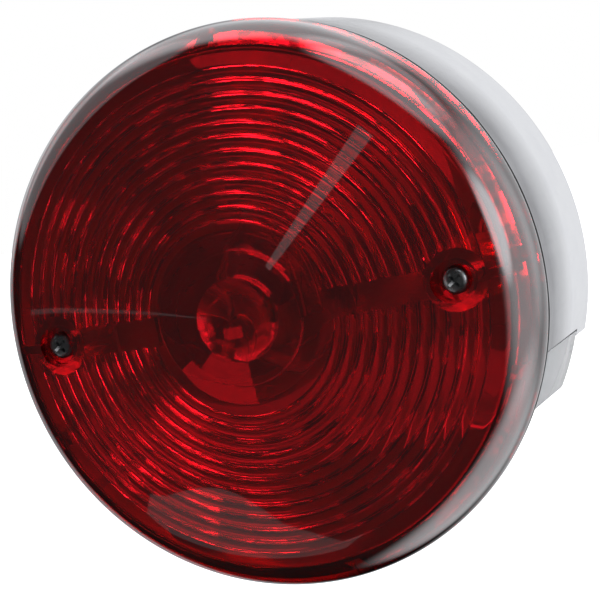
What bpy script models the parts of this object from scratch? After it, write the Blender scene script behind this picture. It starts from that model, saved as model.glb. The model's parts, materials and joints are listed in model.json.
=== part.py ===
"""Round two-stud trailer tail light with a licence plate window.

Metres, +Z up. The origin is the centre of the flat mounting pad on the back.
The lamp's axis is Y: the lens faces -Y and the mounting studs point to +Y.
Heights h are distances in front of the mounting plane, so y = -h.
"""

import math

import bmesh
import bpy
from mathutils import Matrix, Vector

MM = 0.001
OBJECT_NAME = "trailer_tail_light"
GAP = 0.3 * MM
ROUND_STEPS = 64
SMALL_STEPS = 24
SHARP_ANGLE = math.radians(32)
MERGE = 0.00001

# Housing: a pressed steel cup whose bottom is cut off level for the licence window
CUP_R = 54.2 * MM
CUP_REAR_R = 53.8 * MM
CUP_INNER_R = 52.9 * MM
REAR_CORNER_R = 1.5 * MM
SHEET = 1.0 * MM
BACK_H = 1.2 * MM
RIM_H = 38.2 * MM
RIM_R = 54.4 * MM
RIM_INNER_R = 51.6 * MM
RIM_THICK = 1.6 * MM
CUP_FLOOR_Z = -18.5 * MM
SHELF_FRONT_H = 10.4 * MM
PAD_HALF_X = 37.0 * MM
PAD_HALF_Z = 10.5 * MM

# Licence window: a clear tub under the cup, with a flat bottom
WINDOW_R = 53.9 * MM
WINDOW_FLOOR_Z = -28.5 * MM
WINDOW_WALL = 1.8 * MM
TONGUE_R = 52.6 * MM
TONGUE_TOP_Z = -13.5 * MM
TUB_INNER_R = 50.9 * MM

# Lens: a shallow cone with a round shoulder
LENS_R = 54.8 * MM
LENS_EDGE_H = 38.6 * MM
LENS_APEX_H = 58.1 * MM
LENS_SLOPE = 0.19
SHOULDER_R = 11.0 * MM
LENS_THICK = 3.0 * MM
RABBET_R = 53.3 * MM
RABBET_DEPTH = 1.6 * MM
SCREW_X = 40.8 * MM
BOSS_R = 5.8 * MM
BOSS_END_H = 35.6 * MM
COUNTERBORE_R = 3.9 * MM
SEAT_H = 46.9 * MM
CLEAR_HOLE_R = 1.8 * MM
TAB_ANGLES = (90, 2, -22, -80, -158)

# Lens screws and the brackets that take them
HEAD_R = 2.6 * MM
HEAD_THICK = 1.9 * MM
SHANK_R = 1.5 * MM
SHANK_END_H = 29.0 * MM
BRACKET_FRONT_H = 35.2 * MM
BRACKET_HALF_Z = 6.5 * MM
BRACKET_SHEET = 1.2 * MM

# Bulb and bayonet socket: they stand upright, contacts up, on this axis
BULB_H = 26.0 * MM
BASE_R = 7.5 * MM
BASE_LOW_Z = 21.5 * MM
BASE_TOP_Z = 38.5 * MM
GLASS_R = 13.25 * MM
GLASS_TIP_Z = -12.3 * MM
PIN_Z = (31.75 * MM, 28.55 * MM)
PIN_R = 1.0 * MM
PIN_REACH = 8.9 * MM
SOCKET_INNER_R = 7.8 * MM
SOCKET_R = 8.4 * MM
SOCKET_MOUTH_Z = 22.5 * MM
SOCKET_TOP_Z = 49.0 * MM
PRESS_TRAVEL = 2.5 * MM
TURN_DEG = 20.0
PLATE_Z = 41.0 * MM
SPRING_LOW_Z = 42.9 * MM
SPRING_TOP_Z = 47.9 * MM
SHELF_Z = 37.0 * MM

# Mounting hardware: two quarter-inch studs on two-inch centres, with the nuts backed off for a bracket
STUD_X = 25.4 * MM
STUD_R = 3.175 * MM
STUD_LENGTH = 19.0 * MM
NUT_AF = 11.1 * MM
NUT_THICK = 5.5 * MM
MOUNTING_ROOM = 4.0 * MM
WASHER_THICK = 1.5 * MM
BORE_R = 3.45 * MM
GROMMET_Z = 19.0 * MM
GROMMET_HOLE_R = 5.4 * MM
RIVET_X = 7.0 * MM
RIVET_Z = 31.0 * MM

FACE_FORWARD = Matrix.Rotation(math.pi / 2, 4, "X")
HALF_FACET = Matrix.Rotation(math.pi / SMALL_STEPS, 4, "Z")


# ---------------------------------------------------------------- scene and helpers

def clear_scene():
    for obj in list(bpy.data.objects):
        bpy.data.objects.remove(obj, do_unlink=True)


def collection(name):
    group = bpy.data.collections.new(name)
    bpy.context.scene.collection.children.link(group)
    return group


def material(name, colour, roughness, metallic, alpha=1.0):
    mat = bpy.data.materials.new(name)
    mat.use_nodes = True
    shader = mat.node_tree.nodes["Principled BSDF"]
    shader.inputs["Base Color"].default_value = (*colour, 1.0)
    shader.inputs["Roughness"].default_value = roughness
    shader.inputs["Metallic"].default_value = metallic
    shader.inputs["Alpha"].default_value = alpha
    return mat


def add_object(name, mesh, group, matrix=None):
    obj = bpy.data.objects.new(name, mesh)
    group.objects.link(obj)
    if matrix is not None:
        obj.matrix_world = matrix
    return obj


def finish_part(obj, mat):
    obj.data.materials.clear()
    obj.data.materials.append(mat)
    obj.data.shade_smooth()
    obj.data.set_sharp_from_angle(angle=SHARP_ANGLE)
    return obj


def hide_cutter(obj):
    obj.hide_render = True
    obj.display_type = "WIRE"
    return obj


def boolean(obj, other, operation):
    mod = obj.modifiers.new(operation.title() + "_" + other.name, "BOOLEAN")
    mod.operation = operation
    mod.solver = "EXACT"
    mod.object = other
    return obj


def turned(name, profile, group, matrix=None, steps=ROUND_STEPS):
    """Turns a profile of (radius, height) points around the local Z axis."""
    closed = profile[0] == profile[-1]
    points = profile[:-1] if closed else profile
    mesh = bpy.data.meshes.new(name)
    edges = [(i, i + 1) for i in range(len(points) - 1)]
    if closed:
        edges.append((len(points) - 1, 0))
    mesh.from_pydata([(r, 0.0, z) for r, z in points], edges, [])
    obj = add_object(name, mesh, group, matrix)
    screw = obj.modifiers.new("Turn", "SCREW")
    screw.axis = "Z"
    screw.angle = math.tau
    screw.steps = steps
    screw.render_steps = steps
    screw.use_merge_vertices = True
    screw.merge_threshold = MERGE
    return obj


def cylinder(name, radius, low, high, group, matrix=None, steps=SMALL_STEPS):
    """A solid cylinder along the local Z axis, from low to high."""
    bm = bmesh.new()
    bmesh.ops.create_cone(bm, cap_ends=True, segments=steps, radius1=radius, radius2=radius,
                          depth=high - low)
    bmesh.ops.translate(bm, verts=bm.verts, vec=(0, 0, (high + low) / 2))
    mesh = bpy.data.meshes.new(name)
    bm.to_mesh(mesh)
    bm.free()
    return add_object(name, mesh, group, matrix)


def box(name, low, high, group, matrix=None):
    """A box between two corners."""
    bm = bmesh.new()
    bmesh.ops.create_cube(bm, size=1.0)
    size = [b - a for a, b in zip(low, high)]
    centre = [(a + b) / 2 for a, b in zip(low, high)]
    bmesh.ops.scale(bm, vec=size, verts=bm.verts)
    bmesh.ops.translate(bm, vec=centre, verts=bm.verts)
    mesh = bpy.data.meshes.new(name)
    bm.to_mesh(mesh)
    bm.free()
    return add_object(name, mesh, group, matrix)


def curve_to_mesh(curve_obj, group):
    """Replaces a curve object with a mesh object of the same name, place and shape."""
    depsgraph = bpy.context.evaluated_depsgraph_get()
    mesh = bpy.data.meshes.new_from_object(curve_obj.evaluated_get(depsgraph))
    bm = bmesh.new()
    bm.from_mesh(mesh)
    bmesh.ops.remove_doubles(bm, verts=bm.verts, dist=MERGE)
    bmesh.ops.recalc_face_normals(bm, faces=bm.faces)
    bm.to_mesh(mesh)
    bm.free()
    name = curve_obj.name
    matrix = curve_obj.matrix_world.copy()
    bpy.data.objects.remove(curve_obj, do_unlink=True)
    mesh.name = name
    return add_object(name, mesh, group, matrix)


def plate(name, outline, low, high, group, matrix=None):
    """A flat outline of (x, y) points, extruded along local Z from low to high."""
    curve = bpy.data.curves.new(name, "CURVE")
    curve.dimensions = "2D"
    curve.fill_mode = "BOTH"
    curve.extrude = (high - low) / 2
    spline = curve.splines.new("POLY")
    spline.points.add(len(outline) - 1)
    for point, (x, y) in zip(spline.points, outline):
        point.co = (x, y, 0.0, 1.0)
    spline.use_cyclic_u = True
    obj = add_object(name, curve, group)
    place = matrix if matrix is not None else Matrix.Identity(4)
    obj.matrix_world = place @ Matrix.Translation((0, 0, (low + high) / 2))
    bpy.context.view_layer.update()
    return curve_to_mesh(obj, group)


def wire(name, points, radius, group, matrix=None, resolution=1):
    """A round wire along points, with closed ends."""
    curve = bpy.data.curves.new(name, "CURVE")
    curve.dimensions = "3D"
    curve.bevel_depth = radius
    curve.bevel_resolution = resolution
    curve.use_fill_caps = True
    spline = curve.splines.new("POLY")
    spline.points.add(len(points) - 1)
    for point, place in zip(spline.points, points):
        point.co = (*place, 1.0)
    obj = add_object(name, curve, group, matrix)
    bpy.context.view_layer.update()
    return curve_to_mesh(obj, group)


def arc(radius, start_deg, end_deg, count):
    """Points on a circle, both ends included."""
    angles = [math.radians(start_deg + (end_deg - start_deg) * i / count) for i in range(count + 1)]
    return [(radius * math.cos(a), radius * math.sin(a)) for a in angles]


def disc_slice(radius, low_z, high_z, count=26):
    """The part of a disc between two level lines, as an outline."""
    low = math.degrees(math.asin(max(-1.0, low_z / radius)))
    high = math.degrees(math.asin(min(1.0, high_z / radius)))
    if high_z >= radius:
        return arc(radius, low, 180 - low, 2 * count)
    right = arc(radius, low, high, count // 2)
    left = arc(radius, 180 - high, 180 - low, count // 2)
    return right + left


def folded_sheet(name, path, width, thick, side, group, matrix=None):
    """Sheet metal bent along a path of (y, z) points, width wide along X, thickened to one side."""
    mesh = bpy.data.meshes.new(name)
    verts = [(x, y, z) for y, z in path for x in (-width / 2, width / 2)]
    faces = [(2 * i, 2 * i + 1, 2 * i + 3, 2 * i + 2) for i in range(len(path) - 1)]
    mesh.from_pydata(verts, [], faces)
    obj = add_object(name, mesh, group, matrix)
    solid = obj.modifiers.new("Sheet", "SOLIDIFY")
    solid.thickness = thick
    solid.offset = side
    solid.use_even_offset = True
    return obj


# ---------------------------------------------------------------- housing

def stadium(half_x, half_z):
    right = [(x + half_x - half_z, z) for x, z in arc(half_z, -90, 90, 10)]
    left = [(x - half_x + half_z, z) for x, z in arc(half_z, 90, 270, 10)]
    return right + left


def corner_arc(centre_r, centre_h, radius, start_deg, end_deg, count=5):
    return [(centre_r + r, centre_h + h) for r, h in arc(radius, start_deg, end_deg, count)]


def make_housing_shell(parts, cutters, mat):
    outline = [(0.0, RIM_H), (RIM_R, RIM_H), (RIM_R, RIM_H - RIM_THICK / 2), (CUP_R, RIM_H - 2 * RIM_THICK)]
    outline += corner_arc(CUP_REAR_R - REAR_CORNER_R, BACK_H + REAR_CORNER_R, REAR_CORNER_R, 0, -90)
    outline += [(0.0, BACK_H)]
    shell = turned("housing_shell", outline, parts, FACE_FORWARD)

    bulkhead_h = RIM_H - RIM_THICK
    far = 60 * MM
    below = box("cut_below_cup", (-far, -far, -far), (far, CUP_FLOOR_Z, bulkhead_h), cutters, FACE_FORWARD)
    pad = plate("pad_form", stadium(PAD_HALF_X, PAD_HALF_Z), 0.0, BACK_H + SHEET / 2, cutters, FACE_FORWARD)
    cavity_floor = CUP_FLOOR_Z + SHEET
    cavity = plate("cut_cavity", disc_slice(CUP_INNER_R, cavity_floor, CUP_INNER_R),
                   BACK_H + SHEET, bulkhead_h, cutters, FACE_FORWARD)
    tub_mouth = box("cut_tub_mouth", (-far, CUP_FLOOR_Z - SHEET, SHELF_FRONT_H),
                    (far, cavity_floor + GAP, bulkhead_h - SHEET / 10), cutters, FACE_FORWARD)
    mouth = plate("cut_mouth", disc_slice(RIM_INNER_R, WINDOW_FLOOR_Z - GAP, RIM_INNER_R),
                  bulkhead_h - SHEET / 4, RIM_H + SHEET, cutters, FACE_FORWARD)
    dish = plate("cut_pad_dish", stadium(PAD_HALF_X - SHEET, PAD_HALF_Z - SHEET),
                 SHEET, BACK_H + 1.5 * SHEET, cutters, FACE_FORWARD)
    boolean(shell, below, "DIFFERENCE")
    boolean(shell, pad, "UNION")
    for cutter in (cavity, tub_mouth, mouth, dish):
        boolean(shell, cutter, "DIFFERENCE")
    holes = [(side * STUD_X, 0.0, BORE_R) for side in (-1, 1)]
    holes += [(side * RIVET_X, RIVET_Z, 1.9 * MM) for side in (-1, 1)]
    holes += [(0.0, GROMMET_Z, GROMMET_HOLE_R)]
    for number, (x, z, radius) in enumerate(holes):
        place = FACE_FORWARD @ Matrix.Translation((x, z, 0)) @ HALF_FACET
        hole = cylinder(f"cut_back_hole_{number}", radius, -SHEET, 5 * SHEET, cutters, place)
        boolean(shell, hole, "DIFFERENCE")
    return finish_part(shell, mat)


def make_licence_window(parts, cutters, mat):
    front = RIM_H - RIM_THICK - GAP
    rear = SHELF_FRONT_H + GAP
    top = CUP_FLOOR_Z + SHEET
    tub = plate("licence_window", disc_slice(WINDOW_R, WINDOW_FLOOR_Z, top), rear, front, parts, FACE_FORWARD)
    tongue = plate("tongue_form", disc_slice(TONGUE_R, top - 2 * MM, TONGUE_TOP_Z),
                   rear + GAP, front, cutters, FACE_FORWARD)
    hollow = plate("cut_tub_hollow", disc_slice(TUB_INNER_R, WINDOW_FLOOR_Z + WINDOW_WALL, 0.0),
                   rear + WINDOW_WALL, front + SHEET, cutters, FACE_FORWARD)
    boolean(tub, tongue, "UNION")
    boolean(tub, hollow, "DIFFERENCE")
    return finish_part(tub, mat)


def make_lens_brackets(parts, cutters, mat):
    wall = 52.2 * MM
    inner_x = 34.8 * MM
    low_h = 12.0 * MM
    for side, word in ((-1, "left"), (1, "right")):
        turn = FACE_FORWARD @ Matrix.Rotation(math.pi / 2 if side > 0 else -math.pi / 2, 4, "Z")
        path = [(-wall + BRACKET_SHEET, low_h), (-wall + BRACKET_SHEET, BRACKET_FRONT_H - BRACKET_SHEET),
                (-inner_x, BRACKET_FRONT_H - BRACKET_SHEET)]
        bracket = folded_sheet(f"lens_bracket_{word}", path, 2 * BRACKET_HALF_Z, BRACKET_SHEET, 1, parts, turn)
        at_screw = FACE_FORWARD @ Matrix.Translation((side * SCREW_X, 0, 0))
        collar = cylinder(f"collar_form_{word}", 3.4 * MM, BRACKET_FRONT_H - 4 * MM,
                          BRACKET_FRONT_H - BRACKET_SHEET / 2, cutters, at_screw)
        hole = cylinder(f"cut_bracket_hole_{word}", CLEAR_HOLE_R, 20 * MM, 40 * MM, cutters, at_screw)
        boolean(bracket, collar, "UNION")
        boolean(bracket, hole, "DIFFERENCE")
        finish_part(bracket, mat)


def make_lens_gasket(parts, mat):
    low = RIM_H + GAP
    high = LENS_EDGE_H + RABBET_DEPTH - GAP
    inner = RIM_INNER_R + GAP
    outer = RABBET_R - GAP
    profile = [(outer, high), (outer, low), (inner, low), (inner, high), (outer, high)]
    return finish_part(turned("lens_gasket", profile, parts, FACE_FORWARD), mat)


def make_grommet(parts, mat):
    sheet_low = BACK_H - GAP
    sheet_high = BACK_H + SHEET + GAP
    bore = 3.3 * MM
    lip = 7.0 * MM
    groove = GROMMET_HOLE_R - GAP
    profile = [(bore + 0.8 * MM, sheet_high + 2.4 * MM), (groove + 0.6 * MM, sheet_high + 1.6 * MM),
               (lip, sheet_high), (groove, sheet_high), (groove, sheet_low), (lip, sheet_low),
               (lip - 0.4 * MM, sheet_low - 0.8 * MM), (bore, sheet_low - 0.8 * MM),
               (bore, sheet_high + 2.4 * MM), (bore + 0.8 * MM, sheet_high + 2.4 * MM)]
    grommet = turned("wire_grommet", profile, parts,
                     FACE_FORWARD @ Matrix.Translation((0, GROMMET_Z, 0)), 24)
    return finish_part(grommet, mat)


# ---------------------------------------------------------------- lens

def lens_profile():
    """Closed outline of the lens wall: outer side down, rabbet, inner side up."""
    tilt = math.atan(LENS_SLOPE)
    centre_r = LENS_R - SHOULDER_R
    inner_r = SHOULDER_R - LENS_THICK
    top_deg = 90 - math.degrees(tilt)
    outer = corner_arc(centre_r, LENS_EDGE_H, SHOULDER_R, top_deg, 0, 8)
    rabbet_h = LENS_EDGE_H + RABBET_DEPTH
    start_deg = math.degrees(math.asin(RABBET_DEPTH / inner_r))
    inner = corner_arc(centre_r, LENS_EDGE_H, inner_r, start_deg, top_deg, 5)
    inner_apex = inner[-1][1] + LENS_SLOPE * inner[-1][0]
    rabbet = [(RABBET_R, LENS_EDGE_H), (RABBET_R, rabbet_h)]
    return [(0.0, LENS_APEX_H)] + outer + rabbet + inner + [(0.0, inner_apex)]


def make_lens(parts, cutters, mat):
    lens = turned("lens", lens_profile(), parts, FACE_FORWARD)
    for side, word in ((-1, "left"), (1, "right")):
        at_screw = FACE_FORWARD @ Matrix.Translation((side * SCREW_X, 0, 0))
        boss = cylinder(f"boss_form_{word}", BOSS_R, BOSS_END_H, SEAT_H + MM, cutters, at_screw)
        boolean(lens, boss, "UNION")
        bore = cylinder(f"cut_counterbore_{word}", COUNTERBORE_R, SEAT_H, 60 * MM, cutters, at_screw)
        boolean(lens, bore, "DIFFERENCE")
        hole = cylinder(f"cut_lens_hole_{word}", CLEAR_HOLE_R, 20 * MM, 60 * MM, cutters, at_screw)
        boolean(lens, hole, "DIFFERENCE")
    for number, angle in enumerate(TAB_ANGLES):
        turn = FACE_FORWARD @ Matrix.Rotation(math.radians(angle), 4, "Z")
        tab = box(f"tab_form_{number}", (49.6 * MM, -1.5 * MM, LENS_EDGE_H), (51.2 * MM, 1.5 * MM, 44.6 * MM),
                  cutters, turn)
        boolean(lens, tab, "UNION")
    return finish_part(lens, mat)


def make_lens_screws(parts, cutters, mat):
    under_head = SEAT_H + GAP
    top = under_head + HEAD_THICK
    for side, word in ((-1, "left"), (1, "right")):
        place = FACE_FORWARD @ Matrix.Translation((side * SCREW_X, 0, 0))
        profile = [(0.0, top), (0.55 * HEAD_R, top - 0.12 * MM), (0.85 * HEAD_R, top - 0.5 * MM),
                   (HEAD_R, top - 1.1 * MM), (HEAD_R, under_head), (SHANK_R, under_head),
                   (SHANK_R, SHANK_END_H + MM), (0.6 * SHANK_R, SHANK_END_H), (0.0, SHANK_END_H)]
        screw = turned(f"lens_screw_{word}", profile, parts, place, SMALL_STEPS)
        for number in range(2):
            spin = place @ Matrix.Rotation(math.radians(35 + 90 * number), 4, "Z")
            slot = box(f"cut_recess_{word}_{number}", (-1.5 * MM, -0.32 * MM, top - 1.1 * MM),
                       (1.5 * MM, 0.32 * MM, top + MM), cutters, spin)
            boolean(screw, slot, "DIFFERENCE")
        finish_part(screw, mat)


# ---------------------------------------------------------------- bulb and socket

BULB_PLACE = Matrix.Translation((0, -BULB_H, 0))


def make_socket_bracket(parts, cutters, mats):
    rear = BACK_H + SHEET + GAP
    path = [(-rear - BRACKET_SHEET, 25.5 * MM + 2 * MM), (-rear - BRACKET_SHEET, SHELF_Z - BRACKET_SHEET),
            (-37 * MM, SHELF_Z - BRACKET_SHEET)]
    bracket = folded_sheet("socket_bracket", path, 22 * MM, BRACKET_SHEET, -1, parts)
    hole = cylinder("cut_socket_hole", SOCKET_R + GAP, 30 * MM, 40 * MM, cutters, BULB_PLACE, 36)
    boolean(bracket, hole, "DIFFERENCE")
    for side in (-1, 1):
        rivet_hole = cylinder(f"cut_bracket_rivet_{side}", 1.9 * MM, 0, 6 * MM, cutters,
                              FACE_FORWARD @ Matrix.Translation((side * RIVET_X, RIVET_Z, 0)))
        boolean(bracket, rivet_hole, "DIFFERENCE")
    finish_part(bracket, mats["bracket"])
    for side, word in ((-1, "left"), (1, "right")):
        outside = BACK_H - GAP
        inside = rear + BRACKET_SHEET + GAP
        shank = 1.6 * MM
        head = 2.9 * MM
        profile = [(0.0, inside + 1.2 * MM), (0.6 * head, inside + MM), (head, inside), (shank, inside),
                   (shank, outside), (head, outside), (head, outside - 0.5 * MM), (0.0, outside - 0.8 * MM)]
        rivet = turned(f"bracket_rivet_{word}", profile, parts,
                       FACE_FORWARD @ Matrix.Translation((side * RIVET_X, RIVET_Z, 0)), 20)
        finish_part(rivet, mats["rivet"])


def make_socket_shell(parts, cutters, mat):
    collar_low = SHELF_Z + GAP
    collar_high = collar_low + 0.8 * MM
    collar_r = 9.8 * MM
    lead_hole = 3.5 * MM
    profile = [(lead_hole, SOCKET_TOP_Z), (SOCKET_R - MM, SOCKET_TOP_Z), (SOCKET_R, SOCKET_TOP_Z - MM),
               (SOCKET_R, collar_high), (collar_r, collar_high), (collar_r, collar_low),
               (SOCKET_R, collar_low), (SOCKET_R, SOCKET_MOUTH_Z), (SOCKET_INNER_R, SOCKET_MOUTH_Z),
               (SOCKET_INNER_R, SOCKET_TOP_Z - 0.8 * MM), (lead_hole, SOCKET_TOP_Z - 0.8 * MM),
               (lead_hole, SOCKET_TOP_Z)]
    shell = turned("socket_shell", profile, parts, BULB_PLACE, 36)
    room = PIN_R + GAP
    for number, pin_z in enumerate(PIN_Z):
        rest = BULB_PLACE @ Matrix.Rotation(math.pi * number, 4, "Z")
        entry = rest @ Matrix.Rotation(math.radians(TURN_DEG), 4, "Z")
        middle = rest @ Matrix.Rotation(math.radians(TURN_DEG / 2), 4, "Z")
        half_window = SOCKET_R * math.radians(TURN_DEG / 2) + room
        lane = box(f"cut_pin_lane_{number}", (5 * MM, -room, 15 * MM), (12 * MM, room, pin_z), cutters, entry)
        window = box(f"cut_pin_window_{number}", (5 * MM, -half_window, pin_z - room),
                     (12 * MM, half_window, pin_z + room + PRESS_TRAVEL), cutters, middle)
        boolean(shell, lane, "DIFFERENCE")
        boolean(shell, window, "DIFFERENCE")
    return finish_part(shell, mat)


def make_contact_plate(parts, cutters, mats):
    disc = cylinder("contact_plate", 7.3 * MM, PLATE_Z, PLATE_Z + 1.6 * MM, parts, BULB_PLACE, 36)
    for side, word in ((-1, "front"), (1, "rear")):
        place = BULB_PLACE @ Matrix.Translation((0, side * 3.3 * MM, 0))
        hole = cylinder(f"cut_contact_{word}", 1.3 * MM, PLATE_Z - MM, PLATE_Z + 3 * MM, cutters, place)
        boolean(disc, hole, "DIFFERENCE")
        low = PLATE_Z - GAP
        high = PLATE_Z + 1.6 * MM + 0.1 * MM
        profile = [(0.0, high + 0.5 * MM), (1.6 * MM, high + 0.4 * MM), (1.6 * MM, high),
                   (1.0 * MM, high), (1.0 * MM, low + 0.2 * MM), (1.8 * MM, low + 0.2 * MM),
                   (1.5 * MM, low), (0.0, low)]
        button = turned(f"contact_button_{word}", profile, parts, place, 16)
        finish_part(button, mats["contact"])
    finish_part(disc, mats["phenolic"])


def make_contact_spring(parts, mat):
    turns = 3
    per_turn = 12
    wire_r = 0.35 * MM
    coil_r = 6.2 * MM
    count = turns * per_turn
    low = SPRING_LOW_Z + wire_r
    rise = SPRING_TOP_Z - SPRING_LOW_Z - 2 * wire_r
    points = []
    for i in range(count + 1):
        angle = math.tau * i / per_turn
        points.append((coil_r * math.cos(angle), coil_r * math.sin(angle), low + rise * i / count))
    spring = wire("contact_spring", points, wire_r, parts, BULB_PLACE, 2)
    return finish_part(spring, mat)


def envelope_side(inset):
    """One side of the glass wall from the neck's top down to beside the tip."""
    ball_z = GLASS_TIP_Z + GLASS_R
    radius = GLASS_R - inset
    neck_r = 6.6 * MM - inset
    neck_top = 30.0 * MM
    neck_low = 20.0 * MM
    steps = 4
    flare = []
    for i in range(1, steps):
        ease = (1 - math.cos(math.pi * i / steps)) / 2
        flare.append((neck_r + (radius - neck_r) * ease, neck_low + (ball_z - neck_low) * i / steps))
    bowl = [(r, ball_z + z) for r, z in arc(radius, 0, -90, 6)[:-1]]
    return [(neck_r, neck_top), (neck_r, neck_low)] + flare + bowl


def make_bulb(parts, mats):
    wall = 0.6 * MM
    inner = envelope_side(wall) + [(0.0, GLASS_TIP_Z + wall)]
    outer = envelope_side(0.0) + [(0.0, GLASS_TIP_Z)]
    glass = turned("bulb_glass", inner[::-1] + outer, parts, BULB_PLACE, 28)
    finish_part(glass, mats["glass"])

    base = [(5.9 * MM, BASE_TOP_Z), (6.9 * MM, BASE_TOP_Z), (BASE_R, BASE_TOP_Z - 0.6 * MM),
            (BASE_R, BASE_LOW_Z), (BASE_R - 0.5 * MM, BASE_LOW_Z), (BASE_R - 0.5 * MM, BASE_TOP_Z - 0.9 * MM),
            (5.9 * MM, BASE_TOP_Z - 0.5 * MM), (5.9 * MM, BASE_TOP_Z)]
    finish_part(turned("bulb_base", base, parts, BULB_PLACE, 32), mats["brass"])

    bead = cylinder("base_insulator", 5.6 * MM, BASE_TOP_Z - 1.5 * MM, BASE_TOP_Z + 1.2 * MM, parts,
                    BULB_PLACE, 32)
    finish_part(bead, mats["insulator"])
    for side, word in ((-1, "front"), (1, "rear")):
        low = BASE_TOP_Z + 1.25 * MM
        dome = [(0.0, low + 0.7 * MM), (0.9 * MM, low + 0.55 * MM), (1.6 * MM, low + 0.1 * MM),
                (1.6 * MM, low), (0.0, low)]
        contact = turned(f"bulb_contact_{word}", dome, parts,
                         BULB_PLACE @ Matrix.Translation((0, side * 3.3 * MM, 0)), 16)
        finish_part(contact, mats["solder"])
    for number, (pin_z, word) in enumerate(zip(PIN_Z, ("high", "low"))):
        start = BASE_R + 0.05 * MM
        place = BULB_PLACE @ Matrix.Rotation(math.pi * number, 4, "Z") @ Matrix.Translation((0, 0, pin_z))
        place = place @ Matrix.Rotation(math.pi / 2, 4, "Y")
        pin = cylinder(f"bayonet_pin_{word}", PIN_R, start, PIN_REACH, parts, place, 16)
        finish_part(pin, mats["brass"])


def make_bulb_insides(parts, mats):
    stem = [(0.0, 29.5 * MM), (5.2 * MM, 29.5 * MM), (5.2 * MM, 28.0 * MM), (2.4 * MM, 24.0 * MM),
            (1.9 * MM, 16.0 * MM), (0.0, 15.6 * MM)]
    finish_part(turned("bulb_stem", stem, parts, BULB_PLACE, 24), mats["glass"])
    filaments = (("filament_stop", 1.3 * MM, 0.0), ("filament_tail", -2.2 * MM, -3.2 * MM))
    coil_r = 0.55 * MM
    half = 2.6 * MM
    for name, y, z in filaments:
        points = []
        turns = 6
        per_turn = 6
        for i in range(turns * per_turn + 1):
            angle = math.tau * i / per_turn
            x = -half + 2 * half * i / (turns * per_turn)
            points.append((x, y + coil_r * math.cos(angle), z + coil_r * math.sin(angle)))
        finish_part(wire(name, points, 0.12 * MM, parts, BULB_PLACE, 0), mats["tungsten"])
        for side, word in ((-1, "left"), (1, "right")):
            foot = (side * 1.0 * MM, y * 0.5, 15.4 * MM)
            knee = (side * 3.6 * MM, y, 8.0 * MM)
            tip = (side * (half + 0.9 * MM), y, z - 0.6 * MM)
            post_name = name.replace("filament", "post") + "_" + word
            finish_part(wire(post_name, [foot, knee, tip], 0.25 * MM, parts, BULB_PLACE, 1), mats["lead"])


# ---------------------------------------------------------------- mounting hardware

def hexagon(across_flats):
    corner = across_flats / math.sqrt(3)
    return arc(corner, 0, 300, 5)


def make_mounting_hardware(parts, cutters, mats):
    for side, word in ((-1, "left"), (1, "right")):
        place = FACE_FORWARD @ Matrix.Translation((side * STUD_X, 0, 0))
        head_low = SHEET + GAP
        head_high = head_low + 3.0 * MM
        profile = [(0.0, head_high), (5.6 * MM, head_high), (6.0 * MM, head_high - 0.4 * MM), (6.0 * MM, head_low),
                   (STUD_R, head_low), (STUD_R, -STUD_LENGTH + MM), (STUD_R - 0.8 * MM, -STUD_LENGTH),
                   (0.0, -STUD_LENGTH)]
        finish_part(turned(f"mounting_stud_{word}", profile, parts, place, 20), mats["zinc"])

        near = -GAP - MOUNTING_ROOM
        far = near - WASHER_THICK
        ring = [(6.0 * MM, near), (6.0 * MM, far), (BORE_R + 0.1 * MM, far), (BORE_R + 0.1 * MM, near),
                (6.0 * MM, near)]
        washer = turned(f"lock_washer_{word}", ring, parts, place, 24)
        slit = box(f"cut_washer_slit_{word}", (2 * MM, -0.5 * MM, far - MM), (8 * MM, 0.5 * MM, near + MM),
                   cutters, place @ Matrix.Rotation(math.radians(70), 4, "Z"))
        boolean(washer, slit, "DIFFERENCE")
        finish_part(washer, mats["zinc"])

        nut_near = far - GAP
        nut_far = nut_near - NUT_THICK
        nut = plate(f"mounting_nut_{word}", hexagon(NUT_AF), nut_far, nut_near, parts, place)
        bore = cylinder(f"cut_nut_bore_{word}", BORE_R, nut_far - MM, nut_near + MM, cutters, place)
        corner = NUT_AF / math.sqrt(3)
        wide = corner + MM
        slim = corner - 1.1 * MM
        cone = [(0.0, nut_near + MM), (slim, nut_near + 0.3 * MM), (wide, nut_near - 1.1 * MM),
                (wide, nut_far + 1.1 * MM), (slim, nut_far - 0.3 * MM), (0.0, nut_far - MM)]
        chamfer = turned(f"chamfer_form_{word}", cone, cutters, place, 24)
        boolean(nut, chamfer, "INTERSECT")
        boolean(nut, bore, "DIFFERENCE")
        finish_part(nut, mats["zinc"])


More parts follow.
